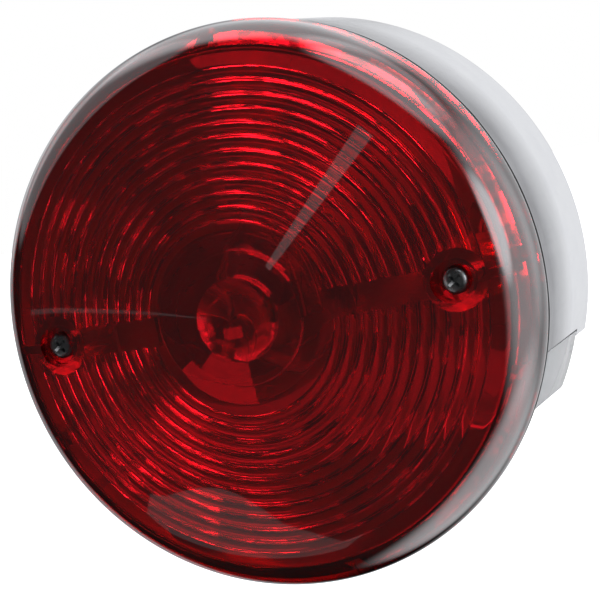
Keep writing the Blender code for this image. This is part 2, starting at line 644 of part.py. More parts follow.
def main():
    clear_scene()
    parts = collection(OBJECT_NAME)
    cutters = collection("cutters")
    mats = {
        "chrome": material("bright_steel", (0.80, 0.81, 0.83), 0.16, 1.0),
        "bracket": material("bracket_steel", (0.62, 0.62, 0.60), 0.38, 1.0),
        "rivet": material("rivet_steel", (0.66, 0.66, 0.66), 0.35, 1.0),
        "zinc": material("zinc_steel", (0.70, 0.71, 0.70), 0.32, 1.0),
        "lens": material("red_acrylic", (0.62, 0.0, 0.01), 0.06, 0.0, 0.6),
        "window": material("clear_acrylic", (0.95, 0.96, 0.97), 0.05, 0.0, 0.3),
        "foam": material("black_foam", (0.02, 0.02, 0.02), 0.9, 0.0),
        "rubber": material("black_rubber", (0.025, 0.025, 0.025), 0.7, 0.0),
        "glass": material("bulb_glass_clear", (0.97, 0.97, 0.96), 0.02, 0.0, 0.25),
        "brass": material("brass", (0.72, 0.56, 0.28), 0.28, 1.0),
        "contact": material("contact_brass", (0.75, 0.60, 0.32), 0.3, 1.0),
        "solder": material("solder", (0.63, 0.63, 0.62), 0.35, 1.0),
        "insulator": material("glass_bead_black", (0.03, 0.03, 0.04), 0.25, 0.0),
        "phenolic": material("phenolic_brown", (0.22, 0.11, 0.05), 0.6, 0.0),
        "spring": material("spring_steel", (0.55, 0.55, 0.56), 0.3, 1.0),
        "tungsten": material("tungsten", (0.30, 0.30, 0.31), 0.4, 1.0),
        "lead": material("nickel_wire", (0.58, 0.57, 0.55), 0.3, 1.0),
    }
    make_housing_shell(parts, cutters, mats["chrome"])
    make_licence_window(parts, cutters, mats["window"])
    make_lens_brackets(parts, cutters, mats["bracket"])
    make_lens_gasket(parts, mats["foam"])
    make_grommet(parts, mats["rubber"])
    make_lens(parts, cutters, mats["lens"])
    make_lens_screws(parts, cutters, mats["zinc"])
    make_socket_bracket(parts, cutters, mats)
    make_socket_shell(parts, cutters, mats["bracket"])
    make_contact_plate(parts, cutters, mats)
    make_contact_spring(parts, mats["spring"])
    make_bulb(parts, mats)
    make_bulb_insides(parts, mats)
    make_mounting_hardware(parts, cutters, mats)
    for cutter in cutters.objects:
        hide_cutter(cutter)


main()
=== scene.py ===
"""Looks of a round two-stud trailer tail light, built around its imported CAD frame.

Metres, +Z up. The lamp's axis is Y and the lens faces -Y. A height h is the
distance in front of the mounting plane, so y = -h.
"""

import json
import math

import bmesh
import bpy
from mathutils import Matrix, Vector


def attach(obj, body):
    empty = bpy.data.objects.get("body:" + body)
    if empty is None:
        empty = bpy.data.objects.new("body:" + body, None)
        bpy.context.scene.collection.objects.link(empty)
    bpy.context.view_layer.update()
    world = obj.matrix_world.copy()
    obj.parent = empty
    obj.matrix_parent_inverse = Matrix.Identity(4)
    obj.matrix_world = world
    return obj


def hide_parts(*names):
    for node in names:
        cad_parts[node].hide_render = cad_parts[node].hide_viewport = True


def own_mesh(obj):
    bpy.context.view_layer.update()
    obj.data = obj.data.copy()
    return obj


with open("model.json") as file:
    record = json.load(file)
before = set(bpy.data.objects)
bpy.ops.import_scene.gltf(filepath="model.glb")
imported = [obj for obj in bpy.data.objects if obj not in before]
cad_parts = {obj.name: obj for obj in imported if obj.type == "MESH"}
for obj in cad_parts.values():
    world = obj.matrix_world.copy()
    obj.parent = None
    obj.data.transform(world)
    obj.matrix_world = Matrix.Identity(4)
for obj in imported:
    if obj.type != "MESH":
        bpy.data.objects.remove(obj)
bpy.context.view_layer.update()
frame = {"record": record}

MM = 0.001
ROUND_STEPS = 256
MEDIUM_STEPS = 96
SMALL_STEPS = 64
SHARP_ANGLE = math.radians(28)
RECORD = frame["record"]
BODY_OF = {node: body for body, nodes in RECORD["behaviour"]["bodies"].items() for node in nodes}
SLOT_OF = {part["node"]: part["material_slot"] for part in RECORD["subparts"]}
SIDES = ((-1, "left"), (1, "right"))
ENDS = ((-1, "front"), (1, "rear"))

# Placing frames: h axis forward, a sheet's section along X, and the upright bulb
FACE_FORWARD = Matrix.Rotation(math.pi / 2, 4, "X")
SECTION_ACROSS = Matrix(((0, 0, 1, 0), (1, 0, 0, 0), (0, 1, 0, 0), (0, 0, 0, 1)))
BULB_H = 26.0 * MM
BULB_PLACE = Matrix.Translation((0, -BULB_H, 0))

# Housing
CUP_R = 54.2 * MM
CUP_REAR_R = 53.8 * MM
CUP_INNER_R = 52.9 * MM
REAR_CORNER_R = 1.5 * MM
SHEET = 1.0 * MM
BACK_H = 1.2 * MM
RIM_H = 38.2 * MM
RIM_R = 54.4 * MM
RIM_INNER_R = 51.6 * MM
RIM_THICK = 1.6 * MM
CUP_FLOOR_Z = -18.5 * MM
SHELF_FRONT_H = 10.4 * MM
PAD_HALF_X = 37.0 * MM
PAD_HALF_Z = 10.5 * MM

# Licence window
WINDOW_R = 53.9 * MM
WINDOW_FLOOR_Z = -28.5 * MM
WINDOW_WALL = 1.8 * MM
TONGUE_R = 52.6 * MM
TONGUE_TOP_Z = -13.5 * MM
TUB_INNER_R = 50.9 * MM

# Lens section
LENS_R = 54.8 * MM
LENS_APEX_H = 58.1 * MM
LENS_EDGE_H = 38.6 * MM
LENS_SLOPE = 0.19
SHOULDER_R = 11.0 * MM
WALL = 2.2 * MM
RABBET_R = 53.3 * MM
RABBET_DEPTH = 1.6 * MM
RING_PITCH = 2.57 * MM
RING_START_R = 18.1 * MM
RING_COUNT = 11
RING_DEPTH = 1.1 * MM
EYE_RADII = (7.75 * MM, 12.4 * MM, 16.4 * MM)
SCREW_X = 40.8 * MM
BOSS_R = 5.8 * MM
BOSS_END_H = 35.6 * MM
COUNTERBORE_R = 3.9 * MM
SEAT_H = 46.9 * MM
CLEAR_HOLE_R = 1.8 * MM
STRIP_HALF = 2.7 * MM
RIB_HALF = 0.83 * MM
TAB_HALF = 1.5 * MM
TAB_ANGLES = (90, 2, -22, -80, -158)

# The coat mirrors more than bare acrylic, as the lens in the photo does
COAT_IOR = 2.1
# Radii where the painted shade at the lens's side wall starts and is full
SHADED_EDGE_FROM_R = 52.6 * MM
SHADED_EDGE_FULL_R = 54.0 * MM

# Lens screws and brackets
HEAD_R = 2.6 * MM
HEAD_LOW_H = 47.2 * MM
HEAD_TOP_H = 49.1 * MM
SHANK_R = 1.5 * MM
SHANK_END_H = 29.0 * MM
BRACKET_FRONT_H = 35.2 * MM
BRACKET_SHEET = 1.2 * MM

# Bulb and socket, heights along Z
BASE_R = 7.5 * MM
BASE_LOW_Z = 21.5 * MM
BASE_TOP_Z = 38.5 * MM
GLASS_R = 13.25 * MM
GLASS_TIP_Z = -12.3 * MM
PIN_Z = (31.75 * MM, 28.55 * MM)
PIN_R = 1.0 * MM
SOCKET_INNER_R = 7.8 * MM
SOCKET_R = 8.4 * MM
SOCKET_MOUTH_Z = 22.5 * MM
SOCKET_TOP_Z = 49.0 * MM
PRESS_TRAVEL = 2.5 * MM
TURN_DEG = 20.0
PLATE_Z = 41.0 * MM
SPRING_LOW_Z = 42.9 * MM
SPRING_TOP_Z = 47.9 * MM
SHELF_Z = 37.0 * MM
CONTACT_Y = 3.3 * MM

# Mounting hardware
STUD_X = 25.4 * MM
STUD_R = 3.175 * MM
STUD_LENGTH = 19.0 * MM
THREAD_PITCH = 1.27 * MM
NUT_AF = 11.1 * MM
NUT_NEAR = -6.1 * MM
NUT_FAR = -11.6 * MM
WASHER_NEAR = -4.3 * MM
WASHER_FAR = -5.8 * MM
BORE_R = 3.45 * MM
GROMMET_Z = 19.0 * MM
GROMMET_HOLE_R = 5.4 * MM
RIVET_X = 7.0 * MM
RIVET_Z = 31.0 * MM
RIVET_HOLE_R = 1.9 * MM

# Camera and floor
CAMERA_PLACE = (0.1518, -0.3892, 0.0346)
CAMERA_AZIMUTH = math.radians(22.52)
CAMERA_ELEVATION = math.radians(5.19)
CAMERA_ROLL = math.radians(-11.64)
FLOOR_HALF = 4.0
FLOOR_Z = -0.16
FLOOR_LIGHT = 0.75

# Softboxes stand this far from the middle of the lamp
SOFTBOX_DISTANCE = 1.0
LAMP_MIDDLE = (0, -0.04, 0)

# Soft studio light: direction, cosines where a patch starts and is full, strength
GLOWS = (
    ((0.30, 0.92, 0.15), 0.50, 0.95, 0.84),
    ((1.00, 0.00, 0.00), 0.60, 0.90, 1.15),
    ((0.84, -0.53, 0.12), 0.95, 0.99, 1.9),
    ((0.44, -0.37, 0.82), 0.90, 0.96, 1.0),
    ((-0.20, 0.45, 0.87), 0.78, 0.93, 1.05),
    ((0.42, 0.04, 0.91), 0.88, 0.96, 1.0),
    ((-0.78, 0.07, 0.62), 0.87, 0.91, 0.35),
    ((-0.76, 0.53, 0.38), 0.93, 0.97, 0.5),
    ((-0.66, 0.73, -0.17), 0.85, 0.92, 0.35),
    ((0.43, 0.25, -0.87), 0.76, 0.95, 1.35),
    ((0.00, -1.00, 0.00), -1.0, 1.0, 0.03),
)


# ---- mesh helpers

def link(name, data, matrix=None):
    obj = bpy.data.objects.new(name, data)
    bpy.context.scene.collection.objects.link(obj)
    if matrix is not None:
        obj.matrix_world = matrix
    return obj


def clean(mesh, distance):
    """Merges stacked vertices and turns every face outwards."""
    bm = bmesh.new()
    bm.from_mesh(mesh)
    bmesh.ops.remove_doubles(bm, verts=bm.verts, dist=distance)
    bmesh.ops.recalc_face_normals(bm, faces=bm.faces)
    bm.to_mesh(mesh)
    bm.free()


def mesh_object(name, verts, faces, place=None):
    mesh = bpy.data.meshes.new(name)
    mesh.from_pydata(verts, [], faces)
    clean(mesh, 1e-7)
    return link(name, mesh, place)


def skin(rows, count):
    """The faces of a body built as rows of count points each, with a flat face at both ends."""
    faces = [list(range(count)), list(range((rows - 1) * count, rows * count))]
    for row in range(rows - 1):
        base = row * count
        for i in range(count):
            j = (i + 1) % count
            faces.append((base + i, base + j, base + count + j, base + count + i))
    return faces


def on_face(x, z=0.0):
    """Local Z points forwards out of the mounting plane, at a place on it."""
    return FACE_FORWARD @ Matrix.Translation((x, z, 0))


def lathe(name, profile, steps=ROUND_STEPS, place=FACE_FORWARD, shape=None):
    """A solid turned around local Z. The profile of (radius, height) closes on itself or ends on the axis.
    A shape function of (radius, height, angle) gives the radius where it isn't round."""
    verts = []
    rows = []
    for radius, height in profile:
        if radius < 1e-9:
            rows.append([len(verts)] * steps)
            verts.append((0.0, 0.0, height))
            continue
        rows.append(list(range(len(verts), len(verts) + steps)))
        for i in range(steps):
            angle = math.tau * i / steps
            here = shape(radius, height, angle) if shape else radius
            verts.append((here * math.cos(angle), here * math.sin(angle), height))
    pairs = list(zip(rows, rows[1:]))
    if profile[0][0] > 1e-9:
        pairs.append((rows[-1], rows[0]))
    faces = []
    for upper, lower in pairs:
        for i in range(steps):
            j = (i + 1) % steps
            corners = [upper[i], upper[j], lower[j], lower[i]]
            face = list(dict.fromkeys(corners))
            if len(face) > 2:
                faces.append(face)
    return mesh_object(name, verts, faces, place)


def in_mm(points):
    return [(x * MM, y * MM) for x, y in points]


def arc(centre_r, centre_h, radius, start_deg, end_deg, count):
    points = []
    for i in range(count + 1):
        angle = math.radians(start_deg + (end_deg - start_deg) * i / count)
        points.append((centre_r + radius * math.cos(angle), centre_h + radius * math.sin(angle)))
    return points


def thread(low, high, pitch, depth):
    """A shape function: a V thread between two heights that fades out at both ends."""
    def radius_at(radius, height, angle):
        if not low < height < high:
            return radius
        turn = (height / pitch - angle / math.tau) % 1.0
        flank = 1 - abs(2 * turn - 1)
        fade = min(1.0, (height - low) / pitch, (high - height) / pitch)
        return radius - depth * flank * fade
    return radius_at


def thread_rows(radius, high, low, pitch):
    """Closely spaced profile points from high to low."""
    count = round((high - low) / pitch * 8)
    return [(radius, high + (low - high) * i / count) for i in range(count + 1)]


def prism(name, outline, low, high, place=FACE_FORWARD, edge=0.0, edge_steps=3):
    """An outline of (x, y) points, extruded along local Z, with its two edges rounded."""
    count = len(outline)
    miters = []
    area = sum(a[0] * b[1] - b[0] * a[1] for a, b in zip(outline, outline[1:] + outline[:1]))
    turn = 1 if area > 0 else -1
    for i, (x, y) in enumerate(outline):
        back = Vector((x - outline[i - 1][0], y - outline[i - 1][1])).normalized()
        ahead = Vector((outline[(i + 1) % count][0] - x, outline[(i + 1) % count][1] - y)).normalized()
        first = Vector((-back.y, back.x)) * turn
        second = Vector((-ahead.y, ahead.x)) * turn
        miters.append((first + second) / max(0.2, 1 + first.dot(second)))
    levels = []
    if edge > 0:
        for i in range(edge_steps + 1):
            angle = math.pi / 2 * i / edge_steps
            levels.append((edge * (1 - math.sin(angle)), low + edge * (1 - math.cos(angle))))
        levels += [(inset, high + low - z) for inset, z in reversed(levels)]
    else:
        levels = [(0.0, low), (0.0, high)]
    verts = []
    for inset, z in levels:
        verts += [(x + inset * m.x, y + inset * m.y, z) for (x, y), m in zip(outline, miters)]
    return mesh_object(name, verts, skin(len(levels), count), place)


def disc_slice(radius, low_z, high_z, corner=0.0, count=96):
    """The part of a disc between two level lines, as an outline with its lower corners rounded."""
    low = math.degrees(math.asin(low_z / radius))
    if high_z >= radius:
        return arc(0, 0, radius, low, 180 - low, 2 * count)
    high = math.degrees(math.asin(high_z / radius))
    if corner == 0:
        return arc(0, 0, radius, low, high, count // 2) + arc(0, 0, radius, 180 - high, 180 - low, count // 2)
    centre_z = low_z + corner
    centre_x = math.sqrt((radius - corner) ** 2 - centre_z ** 2)
    start = math.degrees(math.atan2(centre_z, centre_x))
    right = arc(centre_x, centre_z, corner, -90, start, 8) + arc(0, 0, radius, start, high, count // 2)[1:]
    left = [(-x, z) for x, z in reversed(right)]
    return right + left


def tube(name, points, radius, place, sides=12):
    """A round wire along points, with flat ends."""
    count = len(points)
    spine = [Vector(p) for p in points]
    tangents = []
    for i in range(count):
        tangents.append((spine[min(i + 1, count - 1)] - spine[max(i - 1, 0)]).normalized())
    normal = tangents[0].orthogonal().normalized()
    verts = []
    for centre, tangent in zip(spine, tangents):
        normal = (normal - tangent * normal.dot(tangent)).normalized()
        across = tangent.cross(normal)
        for i in range(sides):
            angle = math.tau * i / sides
            verts.append(centre + radius * (normal * math.cos(angle) + across * math.sin(angle)))
    return mesh_object(name, verts, skin(count, sides), place)


def box_form(name, low, high, place=None):
    verts = [(x, y, z) for x in (low[0], high[0]) for y in (low[1], high[1]) for z in (low[2], high[2])]
    faces = [(0, 1, 3, 2), (4, 6, 7, 5), (0, 4, 5, 1), (2, 3, 7, 6), (0, 2, 6, 4), (1, 5, 7, 3)]
    return mesh_object(name, verts, faces, place)


def rod_form(name, radius, low, high, place, steps=SMALL_STEPS):
    return lathe(name, [(0.0, high), (radius, high), (radius, low), (0.0, low)], steps, place)


def combine(obj, others, operation):
    """Applies one Boolean of obj with each of the others, then removes them."""
    for other in others:
        mod = obj.modifiers.new(operation.title(), "BOOLEAN")
        mod.operation = operation
        mod.solver = "EXACT"
        mod.object = other
    depsgraph = bpy.context.evaluated_depsgraph_get()
    mesh = bpy.data.meshes.new_from_object(obj.evaluated_get(depsgraph))
    obj.modifiers.clear()
    obj.data = mesh
    clean(mesh, 1e-6)
    for other in others:
        bpy.data.objects.remove(other, do_unlink=True)
    return obj


def dress(obj, node, angle=SHARP_ANGLE):
    """Gives a piece the CAD node that it stands for, with that node's body, slot and material."""
    slot = SLOT_OF[node]
    obj.data.shade_smooth()
    obj.data.set_sharp_from_angle(angle=angle)
    obj.data.materials.clear()
    obj.data.materials.append(MATERIALS[slot])
    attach(obj, BODY_OF[node])
    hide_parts(node)
    return obj


# ---- materials

def fill_in(node, values):
    """Sets a node's inputs by name."""
    for name, value in values.items():
        node.inputs[name].default_value = value


def shader_of(name):
    mat = bpy.data.materials.new(name)
    mat.use_nodes = True
    return mat, mat.node_tree, mat.node_tree.nodes["Principled BSDF"]


def noise(tree, scale, detail=4.0, stretch=None):
    coords = tree.nodes.new("ShaderNodeTexCoord")
    node = tree.nodes.new("ShaderNodeTexNoise")
    fill_in(node, {"Scale": scale, "Detail": detail})
    place = coords.outputs["Object"]
    if stretch is not None:
        mapping = tree.nodes.new("ShaderNodeMapping")
        mapping.inputs["Scale"].default_value = stretch
        tree.links.new(place, mapping.inputs["Vector"])
        place = mapping.outputs["Vector"]
    tree.links.new(place, node.inputs["Vector"])
    return node.outputs["Fac"]


def spread(tree, value, low, high, start=0.3, end=0.7):
    node = tree.nodes.new("ShaderNodeMapRange")
    fill_in(node, {"From Min": start, "From Max": end, "To Min": low, "To Max": high})
    tree.links.new(value, node.inputs["Value"])
    return node.outputs["Result"]


def maths(tree, operation, first, second):
    node = tree.nodes.new("ShaderNodeMath")
    node.operation = operation
    tree.links.new(first, node.inputs[0])
    tree.links.new(second, node.inputs[1])
    return node.outputs["Value"]


def add(tree, first, second):
    return maths(tree, "ADD", first, second)


def times(tree, first, second):
    return maths(tree, "MULTIPLY", first, second)


def bump(tree, shader, value, strength, distance):
    node = tree.nodes.new("ShaderNodeBump")
    fill_in(node, {"Strength": strength, "Distance": distance})
    tree.links.new(value, node.inputs["Height"])
    tree.links.new(node.outputs["Normal"], shader.inputs["Normal"])


def worn_edges(tree):
    """Bright where the mesh turns a convex edge."""
    geometry = tree.nodes.new("ShaderNodeNewGeometry")
    return spread(tree, geometry.outputs["Pointiness"], 0.0, 1.0, 0.52, 0.60)


def blend_colours(tree, value, first, second):
    node = tree.nodes.new("ShaderNodeMix")
    node.data_type = "RGBA"
    for socket, colour in ((node.inputs["A"], first), (node.inputs["B"], second)):
        if isinstance(colour, tuple):
            socket.default_value = (*colour, 1.0)
        else:
            tree.links.new(colour, socket)
    tree.links.new(value, node.inputs["Factor"])
    return node.outputs["Result"]


def patches(tree, scale, detail, first, second):
    """Two colours in soft patches."""
    return blend_colours(tree, spread(tree, noise(tree, scale, detail), 0.0, 1.0), first, second)


def scratches(tree, scale):
    """Fine hairlines: a stretched noise whose narrow middle band is bright."""
    lines = noise(tree, scale, 2.0, (1.0, 1.0, 0.06))
    near = tree.nodes.new("ShaderNodeMath")
    near.operation = "COMPARE"
    near.inputs[1].default_value = 0.5
    near.inputs[2].default_value = 0.012
    tree.links.new(lines, near.inputs[0])
    return near.outputs["Value"]


def metal(name, colour, dark, rough, grain=900.0, stretch=None, relief=0.02, wear=0.15):
    mat, tree, shader = shader_of(name)
    shader.inputs["Metallic"].default_value = 1.0
    fine = noise(tree, grain, 5.0, stretch)
    paint = patches(tree, 180.0, 3.0, colour, dark)
    bright = tuple(min(1.0, c * 1.25) for c in colour)
    tree.links.new(blend_colours(tree, worn_edges(tree), paint, bright), shader.inputs["Base Color"])
    smudge = spread(tree, noise(tree, 90.0, 6.0), 0.0, (rough[1] - rough[0]) * 0.8, 0.5, 0.75)
    base = add(tree, spread(tree, fine, rough[0], rough[1]), smudge)
    marks = spread(tree, scratches(tree, grain * 0.5), 0.0, wear, 0.0, 1.0)
    tree.links.new(add(tree, base, marks), shader.inputs["Roughness"])
    bump(tree, shader, fine, relief, 0.0002)
    return mat


def plastic(name, colour, dark, rough, grain=700.0, relief=0.05):
    mat, tree, shader = shader_of(name)
    fine = noise(tree, grain, 4.0)
    paint = patches(tree, 120.0, 4.0, colour, dark)
    dust = spread(tree, noise(tree, 260.0, 8.0), 0.0, 0.10, 0.6, 0.8)
    pale = tuple(0.5 * c + 0.25 for c in colour)
    tree.links.new(blend_colours(tree, dust, paint, pale), shader.inputs["Base Color"])
    tree.links.new(spread(tree, fine, rough[0], rough[1]), shader.inputs["Roughness"])
    bump(tree, shader, fine, relief, 0.0003)
    return mat


def clear(name, colour, deep, haze_to, ior=1.49, body=1.0, coat=0.0):
    """A see-through material. Body is the share of light that passes, and coat adds surface reflection."""
    mat, tree, shader = shader_of(name)
    fill_in(shader, {"Transmission Weight": body, "IOR": ior,
                     "Coat Weight": coat, "Coat Roughness": 0.0, "Coat IOR": COAT_IOR})
    waves = noise(tree, 60.0, 2.0)
    tree.links.new(patches(tree, 35.0, 2.0, colour, deep), shader.inputs["Base Color"])
    haze = spread(tree, noise(tree, 140.0, 5.0), 0.0, haze_to, 0.45, 0.7)
    marks = spread(tree, scratches(tree, 240.0), 0.0, 0.05, 0.0, 1.0)
    tree.links.new(add(tree, haze, marks), shader.inputs["Roughness"])
    bump(tree, shader, waves, 0.01, 0.0002)
    return mat


def turned_place(tree):
    """The distance from the lamp's axis and the height along it."""
    coords = tree.nodes.new("ShaderNodeTexCoord")
    split = tree.nodes.new("ShaderNodeSeparateXYZ")
    tree.links.new(coords.outputs["Object"], split.inputs["Vector"])
    flat = tree.nodes.new("ShaderNodeCombineXYZ")
    tree.links.new(split.outputs["X"], flat.inputs["X"])
    tree.links.new(split.outputs["Y"], flat.inputs["Y"])
    length = tree.nodes.new("ShaderNodeVectorMath")
    length.operation = "LENGTH"
    tree.links.new(flat.outputs["Vector"], length.inputs[0])
    return length.outputs["Value"], split.outputs["Z"]


def paint_dark_reflection(mat, height, reach, tint, from_r):
    """Painted reflection: paints a dark tint onto the outside of the cup towards a height. It stands for the
    dark reflections that the photo shows along the joint and round the rear corner, so it depends only on the
    place on the cup."""
    tree = mat.node_tree
    base = tree.nodes["Principled BSDF"].inputs["Base Color"]
    radius, level = turned_place(tree)
    outside = spread(tree, radius, 0.0, 1.0, from_r, from_r + 0.4 * MM)
    mask = times(tree, outside, spread(tree, level, 1.0, 0.0, height, height + reach))
    patchy = times(tree, mask, spread(tree, noise(tree, 70.0, 5.0), 0.75, 1.0))
    mixed = blend_colours(tree, patchy, base.links[0].from_socket, tint)
    tree.links.new(mixed, base)


def satin_inside(mat):
    """Leaves the inside of the cup less polished than its buffed outside."""
    tree = mat.node_tree
    rough = tree.nodes["Principled BSDF"].inputs["Roughness"]
    radius, level = turned_place(tree)
    inside_wall = CUP_INNER_R + 0.3 * MM
    inside_back = BACK_H + 0.4 * MM
    within = spread(tree, radius, 1.0, 0.0, inside_wall, inside_wall + 0.2 * MM)
    forward = spread(tree, level, 0.0, 1.0, inside_back, inside_back + 0.2 * MM)
    extra = spread(tree, times(tree, within, forward), 0.0, 0.22, 0.0, 1.0)
    tree.links.new(add(tree, rough.links[0].from_socket, extra), rough)


def paint_shaded_edge(mat):
    """Painted shade: deepens the red at the lens's side wall, where the photo shows little light coming
    through.
    """
    tree = mat.node_tree
    base = tree.nodes["Principled BSDF"].inputs["Base Color"]
    radius = turned_place(tree)[0]
    mask = spread(tree, radius, 0.0, 1.0, SHADED_EDGE_FROM_R, SHADED_EDGE_FULL_R)
    tree.links.new(blend_colours(tree, mask, base.links[0].from_socket, (0.27, 0.001, 0.004)), base)


def make_chrome():
    mat = metal("bright_steel", (0.90, 0.91, 0.92), (0.85, 0.86, 0.88), (0.10, 0.16), 400.0,
                relief=0.004, wear=0.04)
    # Painted dark reflection on the cup's outside, darker towards the joint with the lens
    paint_dark_reflection(mat, RIM_H - 6.0 * MM, -16.0 * MM, (0.12, 0.12, 0.13), CUP_INNER_R + 0.1 * MM)
    satin_inside(mat)
    # Painted dark reflection round the cup's rear corner
    paint_dark_reflection(mat, BACK_H + 0.8 * MM, 1.0 * MM, (0.06, 0.06, 0.07), CUP_R - REAR_CORNER_R - 0.1 * MM)
    return mat


def make_red():
    mat = clear("red_acrylic", (0.84, 0.004, 0.012), (0.78, 0.003, 0.010), 0.02, body=0.97, coat=1.0)
    # Painted shade: a darker red at the lens's side wall
    paint_shaded_edge(mat)
    return mat


def make_materials():
    made = [
        make_chrome(),
        metal("bracket_steel", (0.60, 0.60, 0.58), (0.50, 0.50, 0.48), (0.30, 0.45), 900.0,
              (1.0, 0.15, 1.0), 0.03),
        metal("rivet_steel", (0.66, 0.66, 0.65), (0.55, 0.55, 0.54), (0.28, 0.42)),
        metal("zinc_steel", (0.52, 0.53, 0.53), (0.40, 0.41, 0.42), (0.24, 0.38), 1200.0, relief=0.03),
        metal("spring_steel", (0.50, 0.50, 0.51), (0.40, 0.40, 0.42), (0.22, 0.34)),
        metal("brass", (0.76, 0.58, 0.29), (0.64, 0.46, 0.21), (0.20, 0.34), 800.0, (0.2, 0.2, 1.0)),
        metal("contact_brass", (0.80, 0.63, 0.34), (0.68, 0.50, 0.24), (0.22, 0.36)),
        metal("solder", (0.62, 0.62, 0.62), (0.48, 0.48, 0.49), (0.34, 0.5), 500.0, relief=0.12),
        metal("tungsten", (0.32, 0.32, 0.33), (0.24, 0.24, 0.26), (0.3, 0.45)),
        metal("nickel_wire", (0.60, 0.59, 0.57), (0.50, 0.49, 0.47), (0.24, 0.34)),
        make_red(),
        clear("clear_acrylic", (0.96, 0.97, 0.98), (0.93, 0.95, 0.96), 0.06, body=0.5),
        clear("bulb_glass_clear", (0.98, 0.98, 0.97), (0.96, 0.97, 0.96), 0.01, ior=1.5),
        plastic("black_foam", (0.008, 0.008, 0.008), (0.016, 0.016, 0.016), (0.85, 1.0), 1500.0, 0.4),
        plastic("black_rubber", (0.030, 0.030, 0.030), (0.020, 0.020, 0.020), (0.55, 0.75)),
        plastic("glass_bead_black", (0.030, 0.030, 0.045), (0.020, 0.020, 0.030), (0.12, 0.28)),
        plastic("phenolic_brown", (0.22, 0.11, 0.05), (0.15, 0.075, 0.032), (0.45, 0.7), 400.0),
    ]
    # The frame's own materials hold the plain names, so Blender numbers these
    return {mat.name.split(".")[0]: mat for mat in made}


MATERIALS = make_materials()


# ---- housing

def stadium(half_x, half_z):
    return arc(half_x - half_z, 0, half_z, -90, 90, 32) + arc(half_z - half_x, 0, half_z, 90, 270, 32)


def make_housing():
    lip = 0.7 * MM
    outline = [(0.0, RIM_H)] + arc(RIM_R - lip, RIM_H - lip, lip, 90, 0, 5)
    outline += [(RIM_R, RIM_H - RIM_THICK / 2), (RIM_R - 0.05 * MM, RIM_H - RIM_THICK),
                (CUP_R + 0.03 * MM, RIM_H - 1.7 * RIM_THICK), (CUP_R, RIM_H - 2 * RIM_THICK)]
    outline += arc(CUP_REAR_R - REAR_CORNER_R, BACK_H + REAR_CORNER_R, REAR_CORNER_R, 0, -90, 10)
    outline += [(0.0, BACK_H)]
    shell = lathe("housing_body", outline)
    bulkhead_h = RIM_H - RIM_THICK
    cavity_floor = CUP_FLOOR_Z + SHEET
    far = 60 * MM
    below = box_form("below", (-far, -far, -far), (far, CUP_FLOOR_Z, bulkhead_h), FACE_FORWARD)
    combine(shell, [below], "DIFFERENCE")
    pad = prism("pad", stadium(PAD_HALF_X, PAD_HALF_Z), 0.0, BACK_H + SHEET / 2, FACE_FORWARD, 0.35 * MM)
    combine(shell, [pad], "UNION")
    cuts = [
        prism("cavity", disc_slice(CUP_INNER_R, cavity_floor, CUP_INNER_R), BACK_H + SHEET, bulkhead_h,
              FACE_FORWARD, 0.5 * MM),
        box_form("tub_mouth", (-far, CUP_FLOOR_Z - SHEET, SHELF_FRONT_H),
                 (far, cavity_floor + 0.3 * MM, bulkhead_h - SHEET / 10), FACE_FORWARD),
        prism("mouth", disc_slice(RIM_INNER_R, WINDOW_FLOOR_Z - 0.3 * MM, RIM_INNER_R),
              bulkhead_h - SHEET / 4, RIM_H + SHEET),
        prism("dish", stadium(PAD_HALF_X - SHEET, PAD_HALF_Z - SHEET), SHEET, BACK_H + 1.5 * SHEET),
    ]
    holes = [(side * STUD_X, 0.0, BORE_R) for side in (-1, 1)]
    holes += [(side * RIVET_X, RIVET_Z, RIVET_HOLE_R) for side in (-1, 1)]
    holes += [(0.0, GROMMET_Z, GROMMET_HOLE_R)]
    for x, z, radius in holes:
        cuts.append(rod_form("hole", radius, -SHEET, 5 * SHEET, on_face(x, z)))
    combine(shell, cuts, "DIFFERENCE")
    return dress(shell, "housing_shell", math.radians(24))


def make_window():
    front = RIM_H - RIM_THICK - 0.3 * MM
    rear = SHELF_FRONT_H + 0.3 * MM
    top = CUP_FLOOR_Z + SHEET
    tub = prism("window_body", disc_slice(WINDOW_R, WINDOW_FLOOR_Z, top, 1.6 * MM, 24), rear, front,
                FACE_FORWARD, 0.4 * MM)
    tongue = prism("tongue", disc_slice(TONGUE_R, top - 2 * MM, TONGUE_TOP_Z, 0.0, 24), rear + 0.3 * MM,
                   front - 0.1 * MM, FACE_FORWARD, 0.2 * MM)
    hollow = prism("hollow", disc_slice(TUB_INNER_R, WINDOW_FLOOR_Z + WINDOW_WALL, 0.0, 1.0 * MM),
                   rear + WINDOW_WALL, front + SHEET, FACE_FORWARD, 0.6 * MM)
    combine(tub, [tongue], "UNION")
    combine(tub, [hollow], "DIFFERENCE")
    return dress(tub, "licence_window", math.radians(24))


